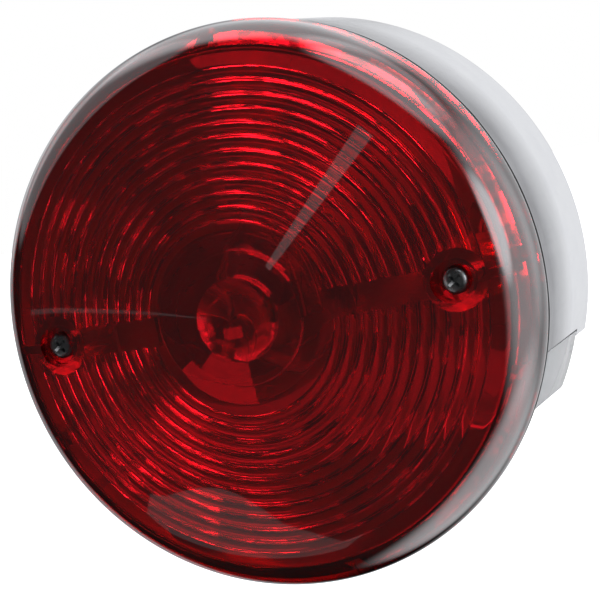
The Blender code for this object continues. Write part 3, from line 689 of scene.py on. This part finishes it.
def make_gasket():
    """A foam ring in the lens rabbet, squeezed out into the joint in places."""
    low = RIM_H + 0.04 * MM
    lip_high = LENS_EDGE_H - 0.04 * MM
    high = LENS_EDGE_H + RABBET_DEPTH - 0.1 * MM
    inner = RIM_INNER_R + 0.3 * MM
    outer = RABBET_R - 0.15 * MM
    lip_r = LENS_R - 0.08 * MM
    peaks = (86, 57, 31, -10, -75, 140, 200)

    def squeezed(radius, height, angle):
        if radius < lip_r - 0.15 * MM:
            return radius
        grow = 0.18 * math.sin(9 * angle) + 0.12 * math.sin(23 * angle + 1)
        for peak in peaks:
            away = (math.degrees(angle) - peak + 180) % 360 - 180
            grow += 0.55 * math.exp(-(away / 2.2) ** 2)
        return radius + grow * 0.08 * MM

    profile = [(outer, high), (outer, lip_high), (lip_r, lip_high), (lip_r, low - 0.6 * MM),
               (lip_r - 0.12 * MM, low - 0.7 * MM), (RIM_R + 0.03 * MM, low - 0.6 * MM),
               (RIM_R - 0.08 * MM, low - 0.3 * MM), (RIM_R - 0.28 * MM, low - 0.1 * MM),
               (RIM_R - 0.7 * MM, low), (inner, low), (inner, high - 0.3 * MM), (inner + 0.3 * MM, high)]
    foam = lathe("gasket_foam", profile, ROUND_STEPS, FACE_FORWARD, squeezed)
    return dress(foam, "lens_gasket")


def make_grommet():
    sheet_low = BACK_H - 0.15 * MM
    sheet_high = BACK_H + SHEET + 0.15 * MM
    bore = 3.3 * MM
    lip = 7.0 * MM
    groove = GROMMET_HOLE_R - 0.15 * MM
    profile = arc(bore + 0.5 * MM, sheet_high + 2.0 * MM, 0.4 * MM, 180, 40, 5)
    profile += [(groove + 0.7 * MM, sheet_high + 1.5 * MM)]
    profile += arc(lip - 0.4 * MM, sheet_high + 0.4 * MM, 0.4 * MM, 60, -90, 6)
    profile += [(groove, sheet_high), (groove, sheet_low)]
    profile += arc(lip - 0.45 * MM, sheet_low - 0.45 * MM, 0.45 * MM, 90, -70, 6)
    profile += arc(bore + 0.35 * MM, sheet_low - 0.5 * MM, 0.35 * MM, 270, 180, 4)
    place = on_face(0, GROMMET_Z)
    return dress(lathe("grommet_rubber", profile, SMALL_STEPS, place), "wire_grommet")


def bent_sheet(name, foot, corner, toe, thick, bend, half_width, place):
    """Sheet metal with one right-angle bend. Foot, corner and toe are outer points of the section."""
    foot_way = (Vector(foot) - Vector(corner)).normalized()
    toe_way = (Vector(toe) - Vector(corner)).normalized()
    outer = []
    inner = []
    for i in range(9):
        angle = math.pi / 2 * i / 8
        centre = Vector(corner) + bend * (foot_way + toe_way)
        spoke = -toe_way * math.cos(angle) - foot_way * math.sin(angle)
        outer.append(centre + bend * spoke)
        inner.append(centre + (bend - thick) * spoke)
    outline = [Vector(foot)] + outer + [Vector(toe), Vector(toe) + thick * foot_way]
    outline += inner[::-1] + [Vector(foot) + thick * toe_way]
    return prism(name, [tuple(p) for p in outline], -half_width, half_width, place, 0.12 * MM, 2)


def make_lens_brackets():
    wall = 52.2 * MM
    for side, word in SIDES:
        section_upright = Matrix.Rotation(math.pi / 2, 4, "X") @ Matrix.Diagonal((1, 1, -1, 1))
        bracket = bent_sheet(f"bracket_{word}", (wall, 12.0 * MM), (wall, BRACKET_FRONT_H),
                             (34.8 * MM, BRACKET_FRONT_H), BRACKET_SHEET, 1.6 * MM, 6.5 * MM,
                             FACE_FORWARD @ Matrix.Diagonal((side, 1, 1, 1)) @ section_upright)
        at_screw = on_face(side * SCREW_X)
        low = BRACKET_FRONT_H - 4 * MM
        collar = lathe("collar", [(0.0, BRACKET_FRONT_H - 0.6 * MM), (3.4 * MM, BRACKET_FRONT_H - 0.6 * MM),
                                  (3.4 * MM, BRACKET_FRONT_H - BRACKET_SHEET), (3.0 * MM, low + 0.3 * MM),
                                  (2.8 * MM, low), (0.0, low)], SMALL_STEPS, at_screw)
        combine(bracket, [collar], "UNION")
        combine(bracket, [rod_form("hole", CLEAR_HOLE_R, 20 * MM, 40 * MM, at_screw)], "DIFFERENCE")
        dress(bracket, f"lens_bracket_{word}")


# ---- lens

def outer_height(radius):
    return LENS_APEX_H - LENS_SLOPE * radius


def ring_section():
    """Inner face from the shoulder to the axis: rings, a plain step and the bull's-eye."""
    points = []
    edge = 0.06 * MM
    for number in reversed(range(RING_COUNT)):
        high_r = RING_START_R + (number + 1) * RING_PITCH - edge
        steps = 10
        for i in range(steps + 1):
            t = (1 - math.cos(math.pi * i / steps)) / 2
            radius = high_r - (RING_PITCH - 2 * edge) * t
            depth = RING_DEPTH * math.sqrt(max(0.0, 1 - (2 * t - 1) ** 2))
            points.append((radius, outer_height(radius) - WALL - depth))
    eye = EYE_RADII[0]
    for low_r, high_r in ((EYE_RADII[1], EYE_RADII[2]), (EYE_RADII[0], EYE_RADII[1])):
        steps = 5
        for i in range(steps + 1):
            t = i / steps
            radius = high_r - edge - (high_r - low_r - 2 * edge) * t
            points.append((radius, outer_height(radius) - WALL - 1.3 * MM * t))
    steps = 12
    bulge = 2.0 * MM
    for i in range(steps + 1):
        radius = (eye - edge) * (1 - i / steps)
        depth = bulge * (1 - (radius / eye) ** 2)
        points.append((radius, outer_height(eye) - WALL - depth))
    return points


def make_lens():
    centre_r = LENS_R - SHOULDER_R
    top_deg = 90 - math.degrees(math.atan(LENS_SLOPE))
    cone = [(0.0, LENS_APEX_H - 0.05 * MM), (0.5 * MM, outer_height(0.6 * MM))]
    cone += [(r * MM, outer_height(r * MM)) for r in (3, 8, 16, 24, 32, 40)]
    shoulder = arc(centre_r, LENS_EDGE_H, SHOULDER_R, top_deg, 2, 28) + [(LENS_R - 0.08 * MM, LENS_EDGE_H)]
    rabbet_h = LENS_EDGE_H + RABBET_DEPTH
    face_end = 48.0 * MM
    corner_r = 1.6 * MM
    corner_h = outer_height(face_end) - WALL - 0.3 * MM
    inner = [(50.6 * MM, rabbet_h)] + arc(face_end, corner_h - corner_r, corner_r, 4, 80, 6)
    profile = cone + shoulder + [(RABBET_R, LENS_EDGE_H), (RABBET_R, rabbet_h)] + inner + ring_section()
    lens = lathe("lens_body", profile)
    forms = []
    for side in (-1, 1):
        place = on_face(side * SCREW_X)
        forms.append(rod_form("boss", BOSS_R, BOSS_END_H, 48.9 * MM, place))
        outward = FACE_FORWARD @ Matrix.Rotation(0 if side > 0 else math.pi, 4, "Z")
        fin = in_mm([(45.7, 41), (50.9, 41), (50.9, 46.6), (48.5, 48.2), (45.7, 48.6)])
        upright = outward @ Matrix.Rotation(math.pi / 2, 4, "X")
        forms.append(prism("rib", fin, -RIB_HALF, RIB_HALF, upright))
        slope = outward @ Matrix.Translation((0, 0, LENS_APEX_H - WALL))
        slope = slope @ Matrix.Rotation(math.atan(LENS_SLOPE), 4, "Y")
        forms.append(box_form("strip", (17.37 * MM, -STRIP_HALF, -RING_DEPTH - 0.13 * MM),
                              (37.9 * MM, STRIP_HALF, 0.61 * MM), slope))
    for angle in TAB_ANGLES:
        turn = FACE_FORWARD @ Matrix.Rotation(math.radians(angle + 0.3), 4, "Z")
        forms.append(box_form("tab", (49.1 * MM, -TAB_HALF, LENS_EDGE_H), (52.2 * MM, TAB_HALF, 44.6 * MM),
                              turn))
    combine(lens, forms, "UNION")
    cuts = []
    for side in (-1, 1):
        place = on_face(side * SCREW_X) @ Matrix.Rotation(0.02, 4, "Z")
        bore = [(0.0, 60 * MM), (COUNTERBORE_R, 60 * MM), (COUNTERBORE_R, SEAT_H),
                (CLEAR_HOLE_R, SEAT_H), (CLEAR_HOLE_R, 20 * MM), (0.0, 20 * MM)]
        cuts.append(lathe("bore", bore, SMALL_STEPS, place))
    combine(lens, cuts, "DIFFERENCE")
    return dress(lens, "lens", math.radians(20))


def make_lens_screws():
    for side, word in SIDES:
        place = on_face(side * SCREW_X)
        under = HEAD_LOW_H
        pitch = 0.8 * MM
        dome = [(0.0, HEAD_TOP_H), (0.35 * HEAD_R, HEAD_TOP_H - 0.03 * MM),
                (0.6 * HEAD_R, HEAD_TOP_H - 0.14 * MM), (0.8 * HEAD_R, HEAD_TOP_H - 0.38 * MM),
                (0.93 * HEAD_R, HEAD_TOP_H - 0.72 * MM), (HEAD_R, HEAD_TOP_H - 1.15 * MM),
                (HEAD_R, under + 0.15 * MM), (0.95 * HEAD_R, under), (SHANK_R, under),
                (SHANK_R, under - 6 * MM)]
        rows = thread_rows(SHANK_R, under - 6.4 * MM, SHANK_END_H + 0.9 * MM, pitch)
        profile = dome + rows + [(0.6 * SHANK_R, SHANK_END_H), (0.0, SHANK_END_H)]
        shape = thread(SHANK_END_H + 0.9 * MM, under - 6.4 * MM, pitch, 0.35 * MM)
        screw = lathe(f"screw_{word}", profile, 48, place, shape)
        recess = []
        for number in range(2):
            spin = place @ Matrix.Rotation(math.radians(35 + 90 * number), 4, "Z")
            half = 1.5 * MM
            top = HEAD_TOP_H
            wedge = [(-half, top + MM), (-half, top - 0.25 * MM), (-0.5 * MM, top - 1.25 * MM),
                     (0.5 * MM, top - 1.25 * MM), (half, top - 0.25 * MM), (half, top + MM)]
            width = (0.30 + 0.003 * number) * MM
            recess.append(prism("recess", wedge, -width, width, spin @ Matrix.Rotation(math.pi / 2, 4, "X")))
        combine(screw, recess, "DIFFERENCE")
        dress(screw, f"lens_screw_{word}")


# ---- bulb and socket

def make_socket():
    outer_y = -(BACK_H + SHEET + 0.3 * MM)
    bracket = bent_sheet("socket_bracket_sheet", (outer_y, 27.5 * MM), (outer_y, SHELF_Z),
                         (-37 * MM, SHELF_Z), BRACKET_SHEET, 1.8 * MM, 11 * MM, SECTION_ACROSS)
    cuts = [rod_form("socket_hole", SOCKET_R + 0.3 * MM, 30 * MM, 40 * MM, BULB_PLACE, MEDIUM_STEPS)]
    for side in (-1, 1):
        place = on_face(side * RIVET_X, RIVET_Z)
        cuts.append(rod_form("rivet_hole", RIVET_HOLE_R, 0, 6 * MM, place))
    combine(bracket, cuts, "DIFFERENCE")
    dress(bracket, "socket_bracket")
    outside = BACK_H - 0.3 * MM
    inside = -outer_y + BRACKET_SHEET + 0.3 * MM
    head = 2.9 * MM
    shank = 1.6 * MM
    for side, word in SIDES:
        profile = [(0.0, inside + 1.2 * MM), (0.35 * head, inside + 1.15 * MM),
                   (0.65 * head, inside + 0.95 * MM), (0.88 * head, inside + 0.55 * MM),
                   (head, inside + 0.1 * MM), (0.97 * head, inside), (shank, inside), (shank, outside),
                   (head, outside), (head, outside - 0.3 * MM), (0.9 * head, outside - 0.52 * MM),
                   (0.5 * head, outside - 0.74 * MM), (0.0, outside - 0.8 * MM)]
        place = on_face(side * RIVET_X, RIVET_Z)
        dress(lathe(f"rivet_{word}", profile, SMALL_STEPS, place), f"bracket_rivet_{word}")

    collar_low = SHELF_Z + 0.3 * MM
    collar_high = collar_low + 0.8 * MM
    collar_r = 9.8 * MM
    lead_hole = 3.5 * MM
    top = SOCKET_TOP_Z
    profile = [(lead_hole, top - 0.1 * MM), (lead_hole + 0.1 * MM, top)]
    profile += arc(SOCKET_R - 1.2 * MM, top - 1.2 * MM, 1.2 * MM, 90, 0, 6)
    profile += [(SOCKET_R, collar_high), (collar_r - 0.1 * MM, collar_high),
                (collar_r, collar_high - 0.1 * MM), (collar_r, collar_low + 0.1 * MM),
                (collar_r - 0.1 * MM, collar_low), (SOCKET_R, collar_low),
                (SOCKET_R, SOCKET_MOUTH_Z + 0.2 * MM), (SOCKET_R - 0.3 * MM, SOCKET_MOUTH_Z),
                (SOCKET_INNER_R + 0.1 * MM, SOCKET_MOUTH_Z), (SOCKET_INNER_R, SOCKET_MOUTH_Z + 0.2 * MM),
                (SOCKET_INNER_R, top - 0.8 * MM), (lead_hole, top - 0.8 * MM)]
    shell = lathe("socket_can", profile, MEDIUM_STEPS, BULB_PLACE)
    room = PIN_R + 0.3 * MM
    cuts = []
    for number, pin_z in enumerate(PIN_Z):
        rest = BULB_PLACE @ Matrix.Rotation(math.pi * number, 4, "Z")
        entry = rest @ Matrix.Rotation(math.radians(TURN_DEG), 4, "Z")
        middle = rest @ Matrix.Rotation(math.radians(TURN_DEG / 2), 4, "Z")
        half_window = SOCKET_R * math.radians(TURN_DEG / 2) + room
        cuts.append(box_form("lane", (5 * MM, -room, 15 * MM), (12 * MM, room, pin_z), entry))
        cuts.append(box_form("opening", (5 * MM, -half_window, pin_z - room),
                             (12 * MM, half_window, pin_z + room + PRESS_TRAVEL), middle))
    combine(shell, cuts, "DIFFERENCE")
    dress(shell, "socket_shell")


def make_contacts():
    low = PLATE_Z
    high = PLATE_Z + 1.6 * MM
    edge = 0.25 * MM
    profile = [(0.0, high), (7.3 * MM - edge, high), (7.3 * MM, high - edge), (7.3 * MM, low + edge),
               (7.3 * MM - edge, low), (0.0, low)]
    disc = lathe("plate_disc", profile, MEDIUM_STEPS, BULB_PLACE)
    holes = []
    for side, word in ENDS:
        place = BULB_PLACE @ Matrix.Translation((0, side * CONTACT_Y, 0))
        turned = place @ Matrix.Rotation(0.03, 4, "Z")
        holes.append(rod_form("hole", 1.3 * MM, low - MM, high + MM, turned, 32))
        button_low = low - 0.3 * MM
        button_high = high + 0.1 * MM
        profile = [(0.0, button_high + 0.5 * MM), (0.9 * MM, button_high + 0.48 * MM),
                   (1.5 * MM, button_high + 0.36 * MM), (1.6 * MM, button_high + 0.2 * MM),
                   (1.6 * MM, button_high), (1.0 * MM, button_high),
                   (1.0 * MM, button_low + 0.2 * MM), (1.8 * MM, button_low + 0.2 * MM),
                   (1.72 * MM, button_low + 0.06 * MM), (1.5 * MM, button_low), (0.0, button_low)]
        dress(lathe(f"button_{word}", profile, 48, place), f"contact_button_{word}")
    combine(disc, holes, "DIFFERENCE")
    dress(disc, "contact_plate")

    wire_r = 0.35 * MM
    coil_r = 6.2 * MM
    turns = 4
    per_turn = 36
    low = SPRING_LOW_Z + wire_r
    rise = SPRING_TOP_Z - SPRING_LOW_Z - 2 * wire_r
    points = []
    for i in range(turns * per_turn + 1):
        angle = math.tau * i / per_turn
        t = i / (turns * per_turn)
        flat = t - math.sin(math.tau * t) / math.tau
        points.append((coil_r * math.cos(angle), coil_r * math.sin(angle), low + rise * flat))
    spring = dress(tube("spring_coil", points, wire_r, BULB_PLACE), "contact_spring")
    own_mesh(spring)


def envelope_side(inset):
    """One side of the glass wall from the neck's top down to beside the tip."""
    ball_z = GLASS_TIP_Z + GLASS_R
    radius = GLASS_R - inset
    neck_r = 6.6 * MM - inset
    neck_low = 20.0 * MM
    flare = []
    steps = 20
    for i in range(1, steps):
        ease = (1 - math.cos(math.pi * i / steps)) / 2
        flare.append((neck_r + (radius - neck_r) * ease, neck_low + (ball_z - neck_low) * i / steps))
    bowl = arc(0.0, ball_z, radius, 0, -90, 24)[:-1]
    return [(neck_r, 30.0 * MM), (neck_r, neck_low)] + flare + bowl


def make_bulb():
    wall = 0.6 * MM
    inner = envelope_side(wall) + [(0.0, GLASS_TIP_Z + wall)]
    outer = envelope_side(0.0) + [(0.0, GLASS_TIP_Z)]
    dress(lathe("glass_envelope", inner[::-1] + outer, MEDIUM_STEPS, BULB_PLACE), "bulb_glass")

    top = BASE_TOP_Z
    base = [(5.9 * MM, top - 0.1 * MM), (6.0 * MM, top)] + arc(6.9 * MM, top - 0.6 * MM, 0.6 * MM, 90, 0, 5)
    base += [(BASE_R, BASE_LOW_Z + 1.4 * MM), (BASE_R - 0.12 * MM, BASE_LOW_Z + 1.1 * MM),
             (BASE_R, BASE_LOW_Z + 0.8 * MM), (BASE_R, BASE_LOW_Z + 0.1 * MM),
             (BASE_R - 0.1 * MM, BASE_LOW_Z), (BASE_R - 0.5 * MM, BASE_LOW_Z),
             (BASE_R - 0.5 * MM, top - 0.9 * MM), (5.9 * MM, top - 0.5 * MM)]
    dress(lathe("base_sleeve", base, MEDIUM_STEPS, BULB_PLACE), "bulb_base")

    bead_r = 5.6 * MM
    bead_low = top - 1.5 * MM
    bead_high = top + 1.2 * MM
    bead = [(0.0, bead_high), (4.9 * MM, bead_high)]
    bead += arc(bead_r - 0.5 * MM, bead_high - 0.5 * MM, 0.5 * MM, 80, 0, 5)
    bead += [(bead_r, bead_low + 0.1 * MM), (bead_r - 0.1 * MM, bead_low), (0.0, bead_low)]
    dress(lathe("bead", bead, SMALL_STEPS, BULB_PLACE), "base_insulator")
    for side, word in ENDS:
        low = bead_high + 0.05 * MM
        dome = [(0.0, low + 0.7 * MM), (0.4 * MM, low + 0.68 * MM), (0.85 * MM, low + 0.57 * MM),
                (1.2 * MM, low + 0.40 * MM), (1.48 * MM, low + 0.2 * MM), (1.6 * MM, low + 0.06 * MM),
                (1.58 * MM, low), (0.0, low)]

        def uneven(radius, height, angle):
            return radius * (0.985 + 0.015 * math.sin(3 * angle + 1.0))

        place = BULB_PLACE @ Matrix.Translation((0, side * CONTACT_Y, 0))
        dress(lathe(f"solder_{word}", dome, 40, place, uneven), f"bulb_contact_{word}")
    for number, (pin_z, word) in enumerate(zip(PIN_Z, ("high", "low"))):
        start = BASE_R + 0.05 * MM
        reach = 8.9 * MM
        place = BULB_PLACE @ Matrix.Rotation(math.pi * number, 4, "Z") @ Matrix.Translation((0, 0, pin_z))
        place = place @ Matrix.Rotation(math.pi / 2, 4, "Y")
        profile = [(0.0, reach), (0.6 * PIN_R, reach - 0.02 * MM), (0.88 * PIN_R, reach - 0.12 * MM),
                   (PIN_R, reach - 0.32 * MM), (PIN_R, start), (0.0, start)]
        dress(lathe(f"pin_{word}", profile, 40, place), f"bayonet_pin_{word}")


def make_bulb_insides():
    stem = in_mm([(0, 29.5), (5.1, 29.5), (5.2, 29.3), (5.2, 28.2), (4.6, 26.6), (3.3, 24.9), (2.4, 23),
                  (2.1, 19), (1.9, 16.4), (1.5, 15.8), (0, 15.6)])
    dress(lathe("stem_glass", stem, SMALL_STEPS, BULB_PLACE), "bulb_stem")
    coil_r = 0.5 * MM
    half = 2.6 * MM
    turns = 13
    per_turn = 16
    for name, y, z in (("stop", 1.3 * MM, 0.0), ("tail", -2.2 * MM, -3.2 * MM)):
        points = []
        for i in range(turns * per_turn + 1):
            angle = math.tau * i / per_turn
            x = -half + 2 * half * i / (turns * per_turn)
            points.append((x, y + coil_r * math.cos(angle), z + coil_r * math.sin(angle)))
        dress(tube(f"coil_{name}", points, 0.1 * MM, BULB_PLACE, 6), f"filament_{name}")
        for side, word in SIDES:
            foot = Vector((side * 1.0 * MM, y * 0.5, 15.4 * MM))
            knee = Vector((side * 3.6 * MM, y, 8.0 * MM))
            tip = Vector((side * (half + 0.9 * MM), y, z - 0.6 * MM))
            bend = []
            for i in range(9):
                t = i / 8
                start = knee + (foot - knee) * 0.35
                end = knee + (tip - knee) * 0.35
                bend.append(start * (1 - t) ** 2 + knee * 2 * t * (1 - t) + end * t ** 2)
            dress(tube(f"support_{name}_{word}", [foot] + bend + [tip], 0.24 * MM, BULB_PLACE, 10),
                  f"post_{name}_{word}")


# ---- mounting hardware

def make_mounting_hardware():
    for side, word in SIDES:
        place = on_face(side * STUD_X)
        head_low = SHEET + 0.3 * MM
        head_high = head_low + 3.0 * MM
        thread_high = -0.6 * MM
        thread_low = -STUD_LENGTH + 0.6 * MM
        profile = [(0.0, head_high), (5.3 * MM, head_high)]
        profile += arc(5.5 * MM, head_high - 0.5 * MM, 0.5 * MM, 80, 0, 4)
        profile += [(6.0 * MM, head_low + 0.1 * MM), (5.9 * MM, head_low), (STUD_R, head_low)]
        profile += thread_rows(STUD_R, thread_high, thread_low, THREAD_PITCH)
        profile += [(STUD_R - 0.7 * MM, -STUD_LENGTH), (0.0, -STUD_LENGTH)]
        shape = thread(thread_low - 0.4 * MM, thread_high, THREAD_PITCH, 0.62 * MM)
        dress(lathe(f"stud_{word}", profile, 48, place, shape), f"mounting_stud_{word}",
              math.radians(40))

        apothem = NUT_AF / 2
        corner = NUT_AF / math.sqrt(3)
        chamfer = 0.9 * MM

        def hexed(radius, height, angle, flat=apothem):
            if radius < flat * 0.8:
                return radius
            away = (angle + math.pi / 6) % (math.pi / 3) - math.pi / 6
            return min(radius, flat / math.cos(away - math.copysign(math.pi / 6, away)))

        slope = []
        for i in range(7):
            radius = apothem - 0.15 * MM + (corner + 0.1 * MM - apothem) * i / 6
            slope.append((radius, NUT_NEAR - chamfer * 0.6 * i / 6))
        mirror = [(r, NUT_NEAR + NUT_FAR - h) for r, h in reversed(slope)]
        bore = [(BORE_R + 0.45 * MM, NUT_FAR), (BORE_R, NUT_FAR + 0.45 * MM), (BORE_R, NUT_NEAR - 0.45 * MM),
                (BORE_R + 0.45 * MM, NUT_NEAR)]
        nut = lathe(f"nut_{word}", slope + mirror + bore, MEDIUM_STEPS, place, hexed)
        dress(nut, f"mounting_nut_{word}")
        make_lock_washer(word, place)


def make_lock_washer(word, place):
    """A split ring whose two ends stand slightly apart along the stud."""
    inner = BORE_R + 0.1 * MM
    outer = 6.0 * MM
    middle = (WASHER_NEAR + WASHER_FAR) / 2
    half = (WASHER_NEAR - WASHER_FAR) / 2 - 0.2 * MM
    edge = 0.15 * MM
    section = [(inner + edge, -half), (outer - edge, -half), (outer, -half + edge), (outer, half - edge),
               (outer - edge, half), (inner + edge, half), (inner, half - edge), (inner, -half + edge)]
    slit = math.radians(70)
    gap = math.radians(6)
    steps = MEDIUM_STEPS
    verts = []
    for i in range(steps + 1):
        t = i / steps
        angle = slit + gap + (math.tau - 2 * gap) * t
        lift = 0.4 * MM * (t - 0.5)
        for radius, height in section:
            verts.append((radius * math.cos(angle), radius * math.sin(angle), middle + height + lift))
    washer = mesh_object(f"washer_{word}", verts, skin(steps + 1, len(section)), place)
    dress(washer, f"lock_washer_{word}")


# ---- studio

def softbox(name, toward, width, height, radiance, roll=0.0):
    """An area light that faces the lamp from a direction."""
    data = bpy.data.lights.new(name, "AREA")
    data.shape = "RECTANGLE"
    data.size = width
    data.size_y = height
    data.energy = radiance * math.pi * width * height
    obj = link(name, data)
    direction = Vector(toward).normalized()
    obj.location = Vector(LAMP_MIDDLE) + direction * SOFTBOX_DISTANCE
    obj.rotation_mode = "QUATERNION"
    turn = Matrix.Rotation(math.radians(roll), 3, "Z").to_quaternion()
    obj.rotation_quaternion = direction.to_track_quat("Z", "Y") @ turn
    obj.visible_camera = False
    return obj


def glow(tree, direction, toward, low, high, strength):
    """A soft round patch of studio light: strength where the direction is close to toward."""
    dot = tree.nodes.new("ShaderNodeVectorMath")
    dot.operation = "DOT_PRODUCT"
    dot.inputs[1].default_value = Vector(toward).normalized()
    tree.links.new(direction, dot.inputs[0])
    ramp = tree.nodes.new("ShaderNodeMapRange")
    ramp.interpolation_type = "SMOOTHSTEP"
    fill_in(ramp, {"From Min": low, "From Max": high, "To Min": 0.0, "To Max": strength})
    tree.links.new(dot.outputs["Value"], ramp.inputs["Value"])
    return ramp.outputs["Result"]


def make_world():
    world = bpy.data.worlds.new("studio")
    bpy.context.scene.world = world
    world.use_nodes = True
    tree = world.node_tree
    tree.nodes.clear()
    out = tree.nodes.new("ShaderNodeOutputWorld")
    mix = tree.nodes.new("ShaderNodeMixShader")
    path = tree.nodes.new("ShaderNodeLightPath")
    page = tree.nodes.new("ShaderNodeBackground")
    fill_in(page, {"Color": (1.0, 1.0, 1.0, 1.0), "Strength": 1.0})
    room = tree.nodes.new("ShaderNodeBackground")
    fill_in(room, {"Color": (0.965, 0.972, 1.0, 1.0)})
    direction = tree.nodes.new("ShaderNodeTexCoord").outputs["Generated"]
    level = glow(tree, direction, *GLOWS[0])
    for patch in GLOWS[1:]:
        level = add(tree, level, glow(tree, direction, *patch))
    tree.links.new(level, room.inputs["Strength"])
    tree.links.new(path.outputs["Is Camera Ray"], mix.inputs["Fac"])
    tree.links.new(room.outputs["Background"], mix.inputs[1])
    tree.links.new(page.outputs["Background"], mix.inputs[2])
    tree.links.new(mix.outputs["Shader"], out.inputs["Surface"])


def make_camera():
    data = bpy.data.cameras.new("camera")
    data.sensor_width = 36.0
    data.lens = 120.0
    data.clip_start = 0.01
    data.clip_end = 50.0
    camera = link("camera", data)
    level = math.cos(CAMERA_ELEVATION)
    back = Vector((math.sin(CAMERA_AZIMUTH) * level, -math.cos(CAMERA_AZIMUTH) * level,
                   math.sin(CAMERA_ELEVATION)))
    turn = Matrix.Rotation(CAMERA_ROLL, 3, "Z").to_quaternion()
    camera.rotation_mode = "QUATERNION"
    camera.rotation_quaternion = back.to_track_quat("Z", "Y") @ turn
    camera.location = CAMERA_PLACE
    bpy.context.scene.camera = camera


def make_floor():
    """A pale floor that is only a backdrop: the lamp isn't lit by it and doesn't mirror it."""
    verts = [(-FLOOR_HALF, -FLOOR_HALF, FLOOR_Z), (FLOOR_HALF, -FLOOR_HALF, FLOOR_Z),
             (FLOOR_HALF, FLOOR_HALF, FLOOR_Z), (-FLOOR_HALF, FLOOR_HALF, FLOOR_Z)]
    floor = mesh_object("floor", verts, [(0, 1, 2, 3)])
    mat, tree, shader = shader_of("floor_paint")
    pale = patches(tree, 20.0, 4.0, (0.93, 0.93, 0.93), (0.90, 0.90, 0.90))
    tree.links.new(pale, shader.inputs["Base Color"])
    fill_in(shader, {"Roughness": 0.8, "Emission Color": (1.0, 1.0, 1.0, 1.0),
                     "Emission Strength": FLOOR_LIGHT})
    floor.data.materials.append(mat)
    floor.visible_glossy = False
    floor.visible_transmission = False
    floor.visible_diffuse = False


def main():
    bpy.context.scene.view_settings.view_transform = "Standard"
    make_camera()
    make_world()
    make_floor()
    softbox("low_card", (-0.47, -0.655, -0.59), 0.50, 0.22, 0.13, -28)
    softbox("strip_front", (-0.085, -0.970, 0.228), 0.042, 0.12, 0.24, -45)
    softbox("strip_left", (-0.7615, -0.648, -0.012), 0.16, 0.010, 0.10)
    fill = softbox("front_fill", (-0.05, -0.90, 0.42), 0.8, 0.5, 1.9)
    fill.visible_glossy = False
    make_housing()
    make_window()
    make_gasket()
    make_grommet()
    make_lens_brackets()
    make_lens()
    make_lens_screws()
    make_socket()
    make_contacts()
    make_bulb()
    make_bulb_insides()
    make_mounting_hardware()


main()
